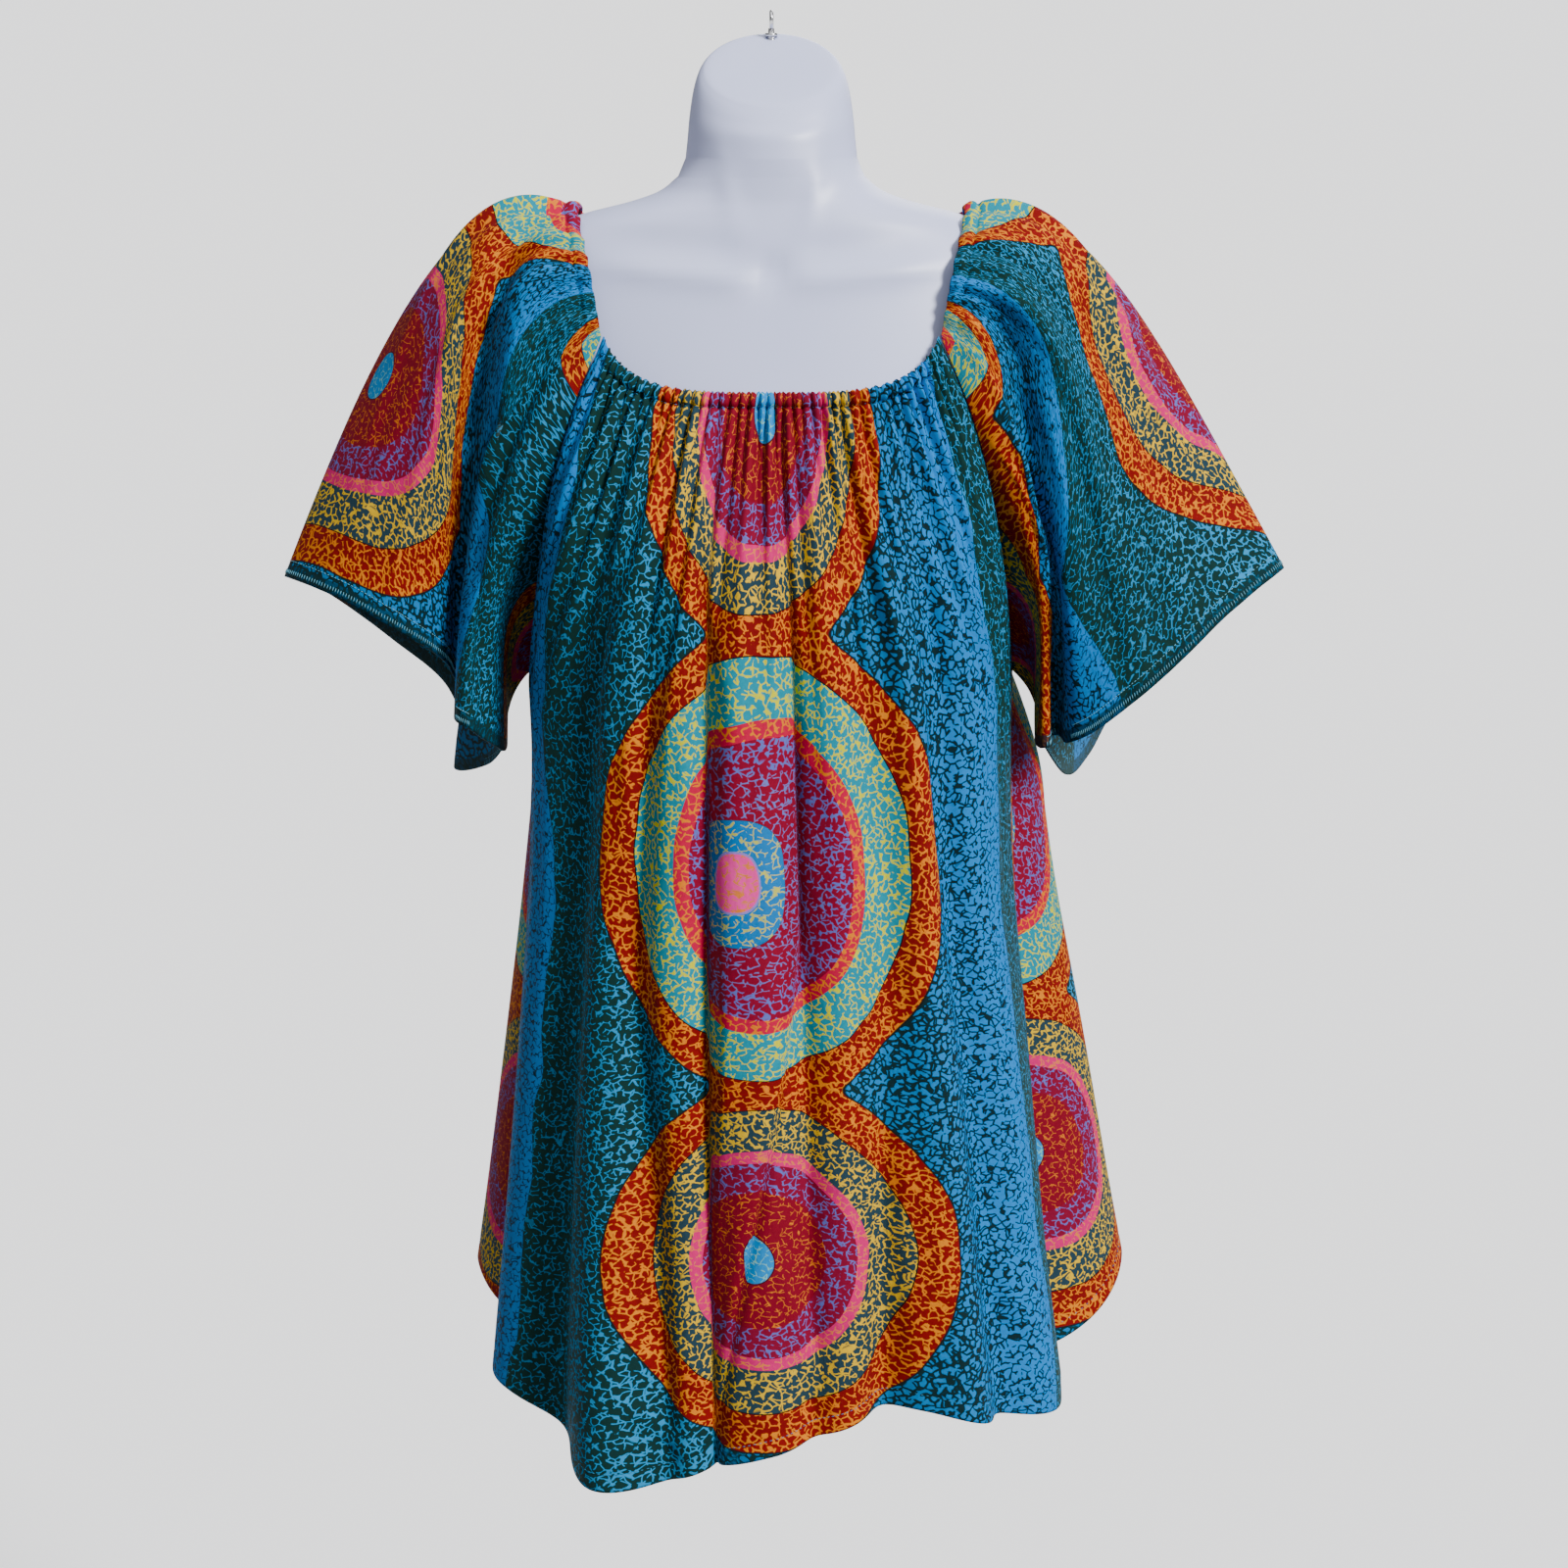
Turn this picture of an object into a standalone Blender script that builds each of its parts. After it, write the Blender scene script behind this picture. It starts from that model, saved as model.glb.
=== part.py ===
"""A gathered-neck cotton dress with wide flared sleeves, on a smooth limbless hanging dress form.

Metres, +Z up, the front faces -Y. Left and right are as seen from the front, so left is -X.
The origin is the inside top of the metal eye on the neck cap, where a hook would carry the form.
Every shape below is worked out about the middle of the torso, which lies at TORSO_MIDDLE_Y,
in front of the eye, because the neck leans forward under its cap.
"""

import math
from collections import namedtuple

import bmesh
import bpy
from mathutils import Matrix, Vector

# Driving sizes
WALL = 0.0016
SEAM_GAP = 0.0003
SEAM_SETBACK = 0.0008
RAGLAN_GAP = 0.0019
REST_GAP = 0.0005
TORSO_MIDDLE_Y = -0.036
UNDERARM_HEIGHT = -0.445
FRONT, BACK = -1.0, 1.0
LEFT, RIGHT = -1.0, 1.0

# Neck opening
NECK_FRONT_CORNER_HEIGHT = -0.212
NECK_FRONT_HEIGHT = -0.247
NECK_BACK_CORNER_HEIGHT = -0.200
NECK_BACK_HEIGHT = -0.222
NECK_DIP_POWER = 3.8

# Gathers on the neck elastic
GATHER_DEPTH = 0.0018
GATHER_FADE = 0.10
SLEEVE_GATHER_FADE = 0.20
FRONT_GATHERS = 32
BACK_GATHERS = 28
SLEEVE_GATHERS = 14
SLEEVE_SIDE_COLUMNS = 17

# Body of the dress
BODY_ROUNDNESS = 2.3
BODY_HALF_WIDTH = 0.180
SEAM_EASE_POWER = 9
RING_STEPS = 160
SLOPE_STEP = 0.001
WELD_DISTANCE = 0.00001
HALFWAY = 0.5
TINY = 1e-6

# Dress form
FORM_SIDES = 40
FORM_ROUNDNESS = 2.2

# Colours, linear red, green and blue
COTTON_COLOUR = (0.03, 0.32, 0.52)
PLASTIC_COLOUR = (0.72, 0.73, 0.80)
STEEL_COLOUR = (0.60, 0.60, 0.60)
COTTON_ROUGHNESS = 0.75
PLASTIC_ROUGHNESS = 0.45
STEEL_ROUGHNESS = 0.25

# Metal eye
EYE_RING_RADIUS = 0.0056
EYE_RING_SIDES = 28
EYE_WIRE_RADIUS = 0.0014
EYE_WIRE_SIDES = 10
EYE_SHANK_RADIUS = 0.0033
EYE_SHANK_SIDES = 20
EYE_SHANK_TOP = -0.0096
EYE_SHANK_DEPTH = 0.010
EYE_CAP_HEIGHT = -0.0155

# height, half width, front depth, back depth
FORM_ROWS = (
    (-0.720, 0.158, 0.100, 0.112),
    (-0.685, 0.160, 0.104, 0.115),
    (-0.620, 0.147, 0.097, 0.100),
    (-0.530, 0.122, 0.084, 0.080),
    (-0.450, 0.137, 0.098, 0.086),
    (-0.375, 0.150, 0.122, 0.095),
    (-0.320, 0.160, 0.114, 0.098),
    (-0.265, 0.176, 0.096, 0.096),
    (-0.215, 0.187, 0.081, 0.087),
    (-0.180, 0.184, 0.070, 0.075),
    (-0.156, 0.170, 0.062, 0.063),
    (-0.141, 0.150, 0.057, 0.057),
    (-0.132, 0.124, 0.054, 0.055),
    (-0.125, 0.096, 0.052, 0.054),
    (-0.118, 0.076, 0.051, 0.053),
    (-0.108, 0.063, 0.050, 0.053),
)

# centre height, half width, half depth, centre y, tilt in degrees
NECK_ROWS = (
    (-0.096, 0.0580, 0.0515, 0.001, 2.0),
    (-0.084, 0.0567, 0.0515, 0.002, 7.0),
    (-0.069, 0.0553, 0.0520, 0.003, 15.0),
    (-0.054, 0.0530, 0.0520, 0.004, 25.0),
    (-0.0445, 0.0502, 0.0512, 0.004, 31.0),
    (-0.0395, 0.0470, 0.0482, 0.004, 33.0),
    (-0.0372, 0.0425, 0.0435, 0.004, 33.0),
    (-0.0364, 0.0300, 0.0310, 0.004, 33.0),
    (-0.0362, 0.0140, 0.0150, 0.004, 33.0),
)

# height, half width of the front at the seam, depth of the seam behind the torso's middle
RAGLAN_FRONT_ROWS = (
    (-0.445, 0.1660, 0.000),
    (-0.405, 0.1620, -0.022),
    (-0.360, 0.1550, -0.050),
    (-0.310, 0.1450, -0.074),
    (-0.260, 0.1300, -0.082),
    (-0.212, 0.1100, -0.076),
)
RAGLAN_BACK_ROWS = (
    (-0.445, 0.1660, 0.000),
    (-0.405, 0.1640, 0.026),
    (-0.360, 0.1590, 0.054),
    (-0.310, 0.1490, 0.074),
    (-0.260, 0.1330, 0.084),
    (-0.200, 0.1100, 0.084),
)

# height, left seam x, right seam x
SIDE_SEAM_ROWS = (
    (-0.945, -0.186, 0.200),
    (-0.850, -0.180, 0.191),
    (-0.720, -0.173, 0.181),
    (-0.600, -0.167, 0.170),
    (-0.500, -0.164, 0.166),
    (-0.445, -0.166, 0.166),
)

# height, depth in front of and behind the torso's middle
BODY_DEPTH_ROWS = (
    (-0.960, 0.166, 0.150),
    (-0.850, 0.163, 0.143),
    (-0.700, 0.156, 0.132),
    (-0.550, 0.149, 0.120),
    (-0.430, 0.143, 0.113),
    (-0.360, 0.135, 0.111),
    (-0.300, 0.117, 0.108),
    (-0.247, 0.094, 0.099),
    (-0.212, 0.084, 0.092),
)

# across from -1 to 1, hem height
FRONT_HEM_ROWS = (
    (-1.00, -0.922),
    (-0.88, -0.936),
    (-0.72, -0.944),
    (-0.51, -0.974),
    (-0.30, -0.984),
    (-0.09, -0.966),
    (0.10, -0.943),
    (0.27, -0.931),
    (0.50, -0.948),
    (0.85, -0.962),
    (1.00, -0.946),
)
BACK_HEM_ROWS = (
    (-1.00, -0.922),
    (-0.86, -0.898),
    (-0.40, -0.925),
    (0.00, -0.935),
    (0.40, -0.930),
    (0.60, -0.926),
    (0.86, -0.897),
    (1.00, -0.946),
)

# share down where it begins, share of the half width at the neck, halfway and at the hem,
# half width of the fold, height halfway and at the hem, overhang
FRONT_FOLDS = (
    (0.00, -0.86, -0.92, -0.96, 0.018, 0.008, 0.024, 0.0),
    (0.00, -0.70, -0.79, -0.82, 0.014, -0.010, -0.014, 0.0),
    (0.00, -0.54, -0.66, -0.58, 0.024, 0.008, 0.026, 0.0),
    (0.00, -0.44, -0.54, -0.38, 0.012, -0.010, -0.004, 0.0),
    (0.00, -0.34, -0.38, -0.30, 0.020, 0.009, 0.006, 0.0),
    (0.00, -0.24, -0.25, -0.20, 0.010, -0.010, -0.006, 0.0),
    (0.00, -0.12, -0.08, -0.04, 0.024, 0.016, 0.010, 0.45),
    (0.00, 0.06, 0.11, 0.14, 0.010, -0.011, -0.006, 0.0),
    (0.00, 0.20, 0.30, 0.26, 0.022, 0.006, 0.002, 0.0),
    (0.00, 0.34, 0.46, 0.40, 0.014, -0.008, -0.016, 0.0),
    (0.00, 0.48, 0.60, 0.66, 0.020, 0.010, 0.018, 0.0),
    (0.00, 0.62, 0.72, 0.80, 0.012, -0.010, -0.010, 0.0),
    (0.00, 0.76, 0.84, 0.93, 0.018, 0.008, 0.018, 0.0),
)
BACK_FOLDS = (
    (0.35, -0.95, -0.95, -0.95, 0.024, 0.015, 0.056, 0.0),
    (0.00, -0.74, -0.76, -0.76, 0.016, -0.009, -0.016, 0.0),
    (0.00, -0.54, -0.52, -0.52, 0.022, 0.009, 0.018, 0.0),
    (0.00, -0.34, -0.32, -0.32, 0.014, -0.008, -0.012, 0.0),
    (0.00, -0.12, -0.10, -0.12, 0.020, 0.011, 0.018, 0.0),
    (0.00, 0.08, 0.08, 0.08, 0.012, -0.009, -0.010, 0.0),
    (0.00, 0.24, 0.26, 0.28, 0.020, 0.010, 0.020, 0.0),
    (0.00, 0.42, 0.44, 0.46, 0.015, -0.009, -0.014, 0.0),
    (0.00, 0.60, 0.62, 0.62, 0.020, 0.008, 0.016, 0.0),
    (0.00, 0.76, 0.78, 0.76, 0.014, -0.008, -0.014, 0.0),
    (0.34, 0.955, 0.955, 0.945, 0.026, 0.042, 0.088, 0.0),
)

# share from the front corner to the back one, x, y, z of the neck edge over the shoulder
NECK_OVER_SHOULDER_ROWS = (
    (0.00, 0.1100, -0.0760, -0.2120),
    (0.22, 0.1170, -0.0680, -0.1740),
    (0.42, 0.1260, -0.0350, -0.1396),
    (0.54, 0.1290, 0.0000, -0.1306),
    (0.66, 0.1260, 0.0380, -0.1386),
    (0.82, 0.1180, 0.0700, -0.1640),
    (1.00, 0.1100, 0.0840, -0.2000),
)

# share round the sleeve, then the way the cloth leaves the armhole: out, back, up
SLEEVE_START_ROWS = (
    (0.00, 0.016, 0.000, -0.014),
    (0.10, 0.030, -0.014, -0.020),
    (0.20, 0.040, -0.020, -0.020),
    (0.30, 0.058, -0.020, -0.012),
    (0.40, 0.086, -0.016, 0.010),
    (0.50, 0.098, 0.000, 0.026),
    (0.60, 0.088, 0.016, 0.012),
    (0.70, 0.062, 0.020, -0.012),
    (0.80, 0.042, 0.018, -0.022),
    (0.90, 0.030, 0.012, -0.020),
    (1.00, 0.016, 0.000, -0.014),
)

# share round the sleeve, hem x, y, z, then the way up from the hem: in, back, up
LEFT_SLEEVE_HEM_ROWS = (
    (0.00, 0.188, 0.010, -0.501, 0.000, 0.000, 0.020),
    (0.07, 0.186, -0.024, -0.499, 0.004, 0.004, 0.050),
    (0.14, 0.192, -0.055, -0.487, 0.006, 0.006, 0.090),
    (0.20, 0.207, -0.070, -0.473, 0.008, 0.004, 0.120),
    (0.25, 0.215, -0.050, -0.467, 0.016, 0.000, 0.130),
    (0.30, 0.214, -0.030, -0.452, 0.012, -0.006, 0.130),
    (0.35, 0.224, -0.044, -0.432, 0.016, -0.002, 0.130),
    (0.42, 0.254, -0.067, -0.407, 0.038, 0.006, 0.130),
    (0.49, 0.297, -0.054, -0.386, 0.048, 0.012, 0.130),
    (0.56, 0.335, -0.012, -0.379, 0.054, 0.000, 0.130),
    (0.64, 0.313, 0.034, -0.397, 0.052, -0.010, 0.130),
    (0.73, 0.273, 0.062, -0.434, 0.040, -0.012, 0.130),
    (0.81, 0.236, 0.072, -0.468, 0.026, -0.012, 0.130),
    (0.87, 0.222, 0.066, -0.505, 0.014, -0.010, 0.120),
    (0.91, 0.228, 0.050, -0.526, 0.010, -0.008, 0.100),
    (0.955, 0.203, 0.034, -0.520, 0.004, -0.004, 0.060),
)
RIGHT_SLEEVE_HEM_ROWS = (
    (0.00, 0.188, 0.010, -0.496, 0.000, 0.000, 0.020),
    (0.07, 0.184, -0.024, -0.495, 0.004, 0.004, 0.050),
    (0.13, 0.188, -0.048, -0.492, 0.006, 0.006, 0.090),
    (0.19, 0.195, -0.032, -0.487, 0.008, -0.010, 0.120),
    (0.25, 0.204, -0.050, -0.488, 0.012, 0.000, 0.130),
    (0.32, 0.224, -0.067, -0.474, 0.024, 0.006, 0.140),
    (0.41, 0.267, -0.068, -0.438, 0.040, 0.010, 0.140),
    (0.49, 0.311, -0.052, -0.398, 0.060, 0.012, 0.130),
    (0.57, 0.353, -0.010, -0.373, 0.075, 0.000, 0.130),
    (0.65, 0.326, 0.038, -0.404, 0.064, -0.010, 0.130),
    (0.74, 0.289, 0.064, -0.444, 0.046, -0.012, 0.130),
    (0.83, 0.248, 0.070, -0.486, 0.026, -0.012, 0.130),
    (0.89, 0.228, 0.060, -0.518, 0.012, -0.008, 0.100),
    (0.945, 0.210, 0.038, -0.528, 0.004, -0.004, 0.070),
)

# share down where it begins, share round the sleeve at the top, halfway and at the hem, half width,
# height halfway and at the hem, overhang
LEFT_SLEEVE_FOLDS = (
    (0.00, 0.480, 0.365, 0.300, 0.036, -0.008, 0.000, 0.0),
    (0.00, 0.440, 0.285, 0.220, 0.030, 0.006, 0.002, 0.0),
    (0.00, 0.370, 0.235, 0.150, 0.026, -0.003, -0.002, 0.0),
    (0.00, 0.560, 0.660, 0.720, 0.036, -0.010, 0.004, 0.0),
    (0.00, 0.640, 0.800, 0.860, 0.030, 0.008, 0.000, 0.0),
)
RIGHT_SLEEVE_FOLDS = (
    (0.00, 0.400, 0.260, 0.190, 0.036, -0.003, 0.000, 0.0),
    (0.00, 0.440, 0.340, 0.270, 0.030, 0.005, 0.003, 0.0),
    (0.00, 0.430, 0.450, 0.500, 0.024, -0.010, 0.000, 0.0),
    (0.00, 0.350, 0.180, 0.130, 0.026, 0.004, 0.002, 0.0),
    (0.00, 0.560, 0.660, 0.720, 0.036, -0.010, 0.004, 0.0),
    (0.00, 0.640, 0.800, 0.860, 0.030, 0.008, 0.000, 0.0),
)
NECK_SHARE_START = 0.30
NECK_SHARE_END = 0.70

Sleeve = namedtuple("Sleeve", "name side puff hem_rows folds")
SLEEVES = (
    Sleeve("sleeve_left", LEFT, 0.019, LEFT_SLEEVE_HEM_ROWS, LEFT_SLEEVE_FOLDS),
    Sleeve("sleeve_right", RIGHT, 0.0, RIGHT_SLEEVE_HEM_ROWS, RIGHT_SLEEVE_FOLDS),
)

# share down the cloth of each row of the mesh
PANEL_ROW_SHARES = (0.0, 0.012, 0.03, 0.06, 0.11, 0.18, 0.27, 0.38, 0.50, 0.63, 0.76, 0.89, 1.0)
SLEEVE_ROW_SHARES = (0.0, 0.03, 0.08, 0.15, 0.24, 0.34, 0.46, 0.60, 0.74, 0.88, 1.0)


def eased(rows, at):
    """The values of a table at a position, on a smooth curve through its rows."""
    last = len(rows) - 1
    step = 0
    while step < last - 1 and rows[step + 1][0] < at:
        step += 1
    here = rows[step]
    there = rows[step + 1]
    before = rows[max(0, step - 1)]
    after = rows[min(last, step + 2)]
    span = there[0] - here[0]
    share = min(1.0, max(0.0, (at - here[0]) / span))
    square = share * share
    cube = square * share
    values = []
    for column in range(1, len(here)):
        slope_in = (there[column] - before[column]) / (there[0] - before[0]) * span
        slope_out = (after[column] - here[column]) / (after[0] - here[0]) * span
        values.append(
            (2 * cube - 3 * square + 1) * here[column]
            + (cube - 2 * square + share) * slope_in
            + (3 * square - 2 * cube) * there[column]
            + (cube - square) * slope_out
        )
    return values


def eased_round(rows, at):
    """As eased, for a table that goes once round a closed loop from 0 to 1."""
    around = [(rows[-1][0] - 1.0, *rows[-1][1:])]
    around.extend(rows)
    around.append((1.0, *rows[0][1:]))
    around.append((1.0 + rows[1][0], *rows[1][1:]))
    return eased(around, at % 1.0)


def mixed(start, end, share):
    """A value part of the way from start to end."""
    return start + (end - start) * share


def superellipse(angle, half_width, half_depth, roundness):
    """A point of a rounded-square ring, at an angle from its middle."""
    cosine = math.cos(angle)
    sine = math.sin(angle)
    x = half_width * math.copysign(abs(sine) ** (2.0 / roundness), sine)
    y = half_depth * math.copysign(abs(cosine) ** (2.0 / roundness), cosine)
    return x, y


def form_point(around, height):
    """A point of the torso's skin: around goes from 0 to 1, anticlockwise from the back."""
    half_width, front, back = eased(FORM_ROWS, height)
    angle = 2.0 * math.pi * around
    depth = back if math.cos(angle) > 0.0 else front
    x, y = superellipse(angle, half_width, depth, FORM_ROUNDNESS)
    return Vector((-x, y, height))


def neck_point(around, row):
    """A point of one of the tilted rings of the neck and its cap."""
    height, half_width, half_depth, centre_y, tilt = row
    angle = 2.0 * math.pi * around
    x = -half_width * math.sin(angle)
    along = half_depth * math.cos(angle)
    lean = math.radians(tilt)
    return Vector((x, centre_y + along * math.cos(lean), height + along * math.sin(lean)))


def kept_off_form(point, clearance):
    """The point, moved out level from the torso's axis where it is nearer to the skin than the clearance."""
    lowest = FORM_ROWS[0][0]
    if point.z < lowest - clearance:
        return point
    half_width, front, back = eased(FORM_ROWS, max(point.z, lowest))
    depth = (front if point.y < 0.0 else back) + clearance
    reach = (abs(point.x) / (half_width + clearance)) ** FORM_ROUNDNESS
    reach += (abs(point.y) / depth) ** FORM_ROUNDNESS
    if reach >= 1.0 or reach < TINY:
        return point
    grow = reach ** (-1.0 / FORM_ROUNDNESS)
    return Vector((point.x * grow, point.y * grow, point.z))


def seam_point(facing, side, height):
    """A point of the seam at a panel's edge: raglan above the underarm, side seam below it."""
    if height > UNDERARM_HEIGHT:
        rows = RAGLAN_FRONT_ROWS if facing == FRONT else RAGLAN_BACK_ROWS
        x, y = eased(rows, height)
        return side * x, y
    left, right = eased(SIDE_SEAM_ROWS, height)
    return (left if side == LEFT else right), 0.0


def neck_height(facing, share):
    """The height of a panel's neck edge at a share of its half width."""
    if facing == FRONT:
        corner, middle = NECK_FRONT_CORNER_HEIGHT, NECK_FRONT_HEIGHT
    else:
        corner, middle = NECK_BACK_CORNER_HEIGHT, NECK_BACK_HEIGHT
    return mixed(middle, corner, abs(share) ** NECK_DIP_POWER)


def fold_push(folds, at, down, unit):
    """How far a table of folds pushes the cloth out and along, at a place across it; widths are in units."""
    out = 0.0
    along = 0.0
    early = min(1.0, down / HALFWAY)
    late = max(0.0, (down - HALFWAY) / HALFWAY)
    for begin, top, middle, hem, width, height_middle, height_hem, overhang in folds:
        grown = min(1.0, max(0.0, (down - begin) / (HALFWAY - begin)))
        centre = mixed(mixed(top, middle, early), hem, late)
        height = mixed(height_middle * math.sin(grown * math.pi / 2.0), height_hem, late)
        away = (at - centre) * unit / width
        swell = math.exp(-away * away)
        out += height * swell
        along += overhang * height * away * swell
    return out, along


def panel_ring(facing, turn, down):
    """A point of a panel's cloth without folds, the way out from it, and its share of the half width."""
    hem_rows = FRONT_HEM_ROWS if facing == FRONT else BACK_HEM_ROWS
    side = LEFT if turn < 0.0 else RIGHT
    angle = abs(turn) * math.pi / 2.0
    share = math.sin(angle) ** (2.0 / BODY_ROUNDNESS)
    bulge = max(0.0, math.cos(angle)) ** (2.0 / BODY_ROUNDNESS)
    height = mixed(neck_height(facing, share), eased(hem_rows, turn)[0], down)
    seam_x, seam_y = seam_point(facing, side, height)
    depth = eased(BODY_DEPTH_ROWS, height)[0 if facing == FRONT else 1] * facing
    point = Vector((seam_x * share, seam_y + (depth - seam_y) * bulge, height))
    outward = Vector((point.x / seam_x**2, point.y / depth**2, 0.0)).normalized()
    return point, outward, share * side


def even_turns(facing, down, columns):
    """The turns that part one ring of a panel into equal lengths of cloth."""
    fine = [2.0 * step / RING_STEPS - 1.0 for step in range(RING_STEPS + 1)]
    points = [panel_ring(facing, turn, down)[0] for turn in fine]
    lengths = [0.0]
    for here, there in zip(points, points[1:]):
        lengths.append(lengths[-1] + (there - here).length)
    turns = []
    step = 0
    for column in range(columns + 1):
        wanted = lengths[-1] * column / columns
        while step < RING_STEPS - 1 and lengths[step + 1] < wanted:
            step += 1
        part = (wanted - lengths[step]) / (lengths[step + 1] - lengths[step])
        turns.append(mixed(fine[step], fine[step + 1], part))
    return turns


def panel_point(facing, turn, across, down):
    """A point of the middle of a panel's wall; across is the even share of the cloth, from -1 to 1."""
    gathers = FRONT_GATHERS if facing == FRONT else BACK_GATHERS
    folds = FRONT_FOLDS if facing == FRONT else BACK_FOLDS
    point, outward, share = panel_ring(facing, turn, down)
    out, along = fold_push(folds, share, down, BODY_HALF_WIDTH)
    out += GATHER_DEPTH * math.cos(across * gathers * math.pi) * math.exp(-down / GATHER_FADE)
    sideways = Vector((-outward.y, outward.x, 0.0)) * -facing
    point += (outward * out + sideways * along) * (1.0 - abs(across) ** SEAM_EASE_POWER)
    return kept_off_form(point, REST_GAP + WALL / 2.0)


def over_shoulder(around):
    """The share of the way over the shoulder, from the front corner of the neck to the back one."""
    return (around - NECK_SHARE_START) / (NECK_SHARE_END - NECK_SHARE_START)


def armhole_point(side, around):
    """A point of the loop where a sleeve starts: up the front seam, over the shoulder, down the back seam."""
    if NECK_SHARE_START <= around <= NECK_SHARE_END:
        x, y, z = eased(NECK_OVER_SHOULDER_ROWS, over_shoulder(around))
        return Vector((side * x, y, z))
    if around < NECK_SHARE_START:
        facing, corner = FRONT, NECK_FRONT_CORNER_HEIGHT
        up = around / NECK_SHARE_START
    else:
        facing, corner = BACK, NECK_BACK_CORNER_HEIGHT
        up = (1.0 - around) / (1.0 - NECK_SHARE_END)
    height = mixed(UNDERARM_HEIGHT, corner, up)
    x, y = seam_point(facing, side, height)
    return Vector((x, y, height))


def sleeve_base(sleeve, around, down):
    """A point of a sleeve's cloth without folds: around from the underarm up the front, down to the hem."""
    around = around % 1.0
    out, back, up = eased(SLEEVE_START_ROWS, around)
    if NECK_SHARE_START < around < NECK_SHARE_END:
        up += sleeve.puff * math.sin(over_shoulder(around) * math.pi)
    leave = Vector((sleeve.side * out, back, up))
    before = armhole_point(sleeve.side, max(0.0, around - SLOPE_STEP))
    along = (armhole_point(sleeve.side, min(1.0, around + SLOPE_STEP)) - before).normalized()
    clear = (leave - along * leave.dot(along)).normalized()
    start = armhole_point(sleeve.side, around) + clear * RAGLAN_GAP
    x, y, z, hem_in, hem_back, hem_up = eased_round(sleeve.hem_rows, around)
    end = Vector((sleeve.side * x, y, z))
    arrive = Vector((-sleeve.side * hem_in, hem_back, hem_up))
    rest = 1.0 - down
    point = start * rest**3 + (start + leave) * 3.0 * rest**2 * down
    point += (end + arrive) * 3.0 * rest * down**2 + end * down**3
    return point


def sleeve_point(sleeve, around, down):
    """A point of the middle of a sleeve's wall, with its gathers and folds."""
    ahead = sleeve_base(sleeve, around + SLOPE_STEP, down)
    behind = sleeve_base(sleeve, around - SLOPE_STEP, down)
    below = sleeve_base(sleeve, around, down + SLOPE_STEP)
    above = sleeve_base(sleeve, around, down - SLOPE_STEP)
    outward = (ahead - behind).cross(below - above).normalized() * -sleeve.side
    push = fold_push(sleeve.folds, around, down, 1.0)[0] + sleeve_gather(around, down)
    return sleeve_base(sleeve, around, down) + outward * push


def sleeve_gather(around, down):
    """How far a gather of the neck elastic pushes a sleeve's wall out."""
    if not NECK_SHARE_START < around < NECK_SHARE_END:
        return 0.0
    over = over_shoulder(around)
    ease = math.sin(over * math.pi) ** 0.5
    wave = math.cos(over * SLEEVE_GATHERS * 2.0 * math.pi)
    return GATHER_DEPTH * ease * wave * math.exp(-down / SLEEVE_GATHER_FADE)


def sleeve_shares():
    """The shares round a sleeve of its mesh columns: two for each gather, and plain ones along the seams."""
    neck_steps = SLEEVE_GATHERS * 2
    neck_span = NECK_SHARE_END - NECK_SHARE_START
    back_span = 1.0 - NECK_SHARE_END
    shares = [NECK_SHARE_START * step / SLEEVE_SIDE_COLUMNS for step in range(SLEEVE_SIDE_COLUMNS)]
    shares += [NECK_SHARE_START + neck_span * step / neck_steps for step in range(neck_steps)]
    shares += [NECK_SHARE_END + back_span * step / SLEEVE_SIDE_COLUMNS for step in range(SLEEVE_SIDE_COLUMNS)]
    return shares


def fresh_scene():
    """Empties the scene and makes the collections for the object and for its cutters."""
    for old in list(bpy.data.objects):
        bpy.data.objects.remove(old)
    collections = []
    for name in ("ankara_dress_on_form", "cutters"):
        collection = bpy.data.collections.new(name)
        bpy.context.scene.collection.children.link(collection)
        collections.append(collection)
    return collections


def make_material(name, colour, roughness, metallic=0.0):
    """A plain material of one colour."""
    material = bpy.data.materials.new(name)
    material.use_nodes = True
    shader = material.node_tree.nodes["Principled BSDF"]
    shader.inputs["Base Color"].default_value = (*colour, 1.0)
    shader.inputs["Roughness"].default_value = roughness
    shader.inputs["Metallic"].default_value = metallic
    return material


def grid_mesh(columns, rows, place):
    """A bmesh grid whose column and row numbers are turned into places by a function."""
    mesh = bmesh.new()
    bmesh.ops.create_grid(mesh, x_segments=columns, y_segments=rows, size=0.5)
    for vertex in mesh.verts:
        column = round((vertex.co.x + 0.5) * columns)
        row = round((vertex.co.y + 0.5) * rows)
        vertex.co = place(column, row)
    return mesh


def closed_round(mesh):
    """Joins the first and last columns of a grid that goes once round, and faces it outward."""
    bmesh.ops.remove_doubles(mesh, verts=mesh.verts, dist=WELD_DISTANCE)
    bmesh.ops.recalc_face_normals(mesh, faces=mesh.faces)


def make_object(name, mesh, material, collection, parent):
    """An object of a bmesh, smooth shaded, under its parent."""
    data = bpy.data.meshes.new(name)
    mesh.to_mesh(data)
    mesh.free()
    data.shade_smooth()
    data.materials.append(material)
    piece = bpy.data.objects.new(name, data)
    piece.parent = parent
    collection.objects.link(piece)
    return piece


def add_wall(piece):
    """Turns an open cloth surface into a closed wall, half to each side."""
    wall = piece.modifiers.new("cloth wall", "SOLIDIFY")
    wall.thickness = WALL
    wall.offset = 0.0


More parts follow.
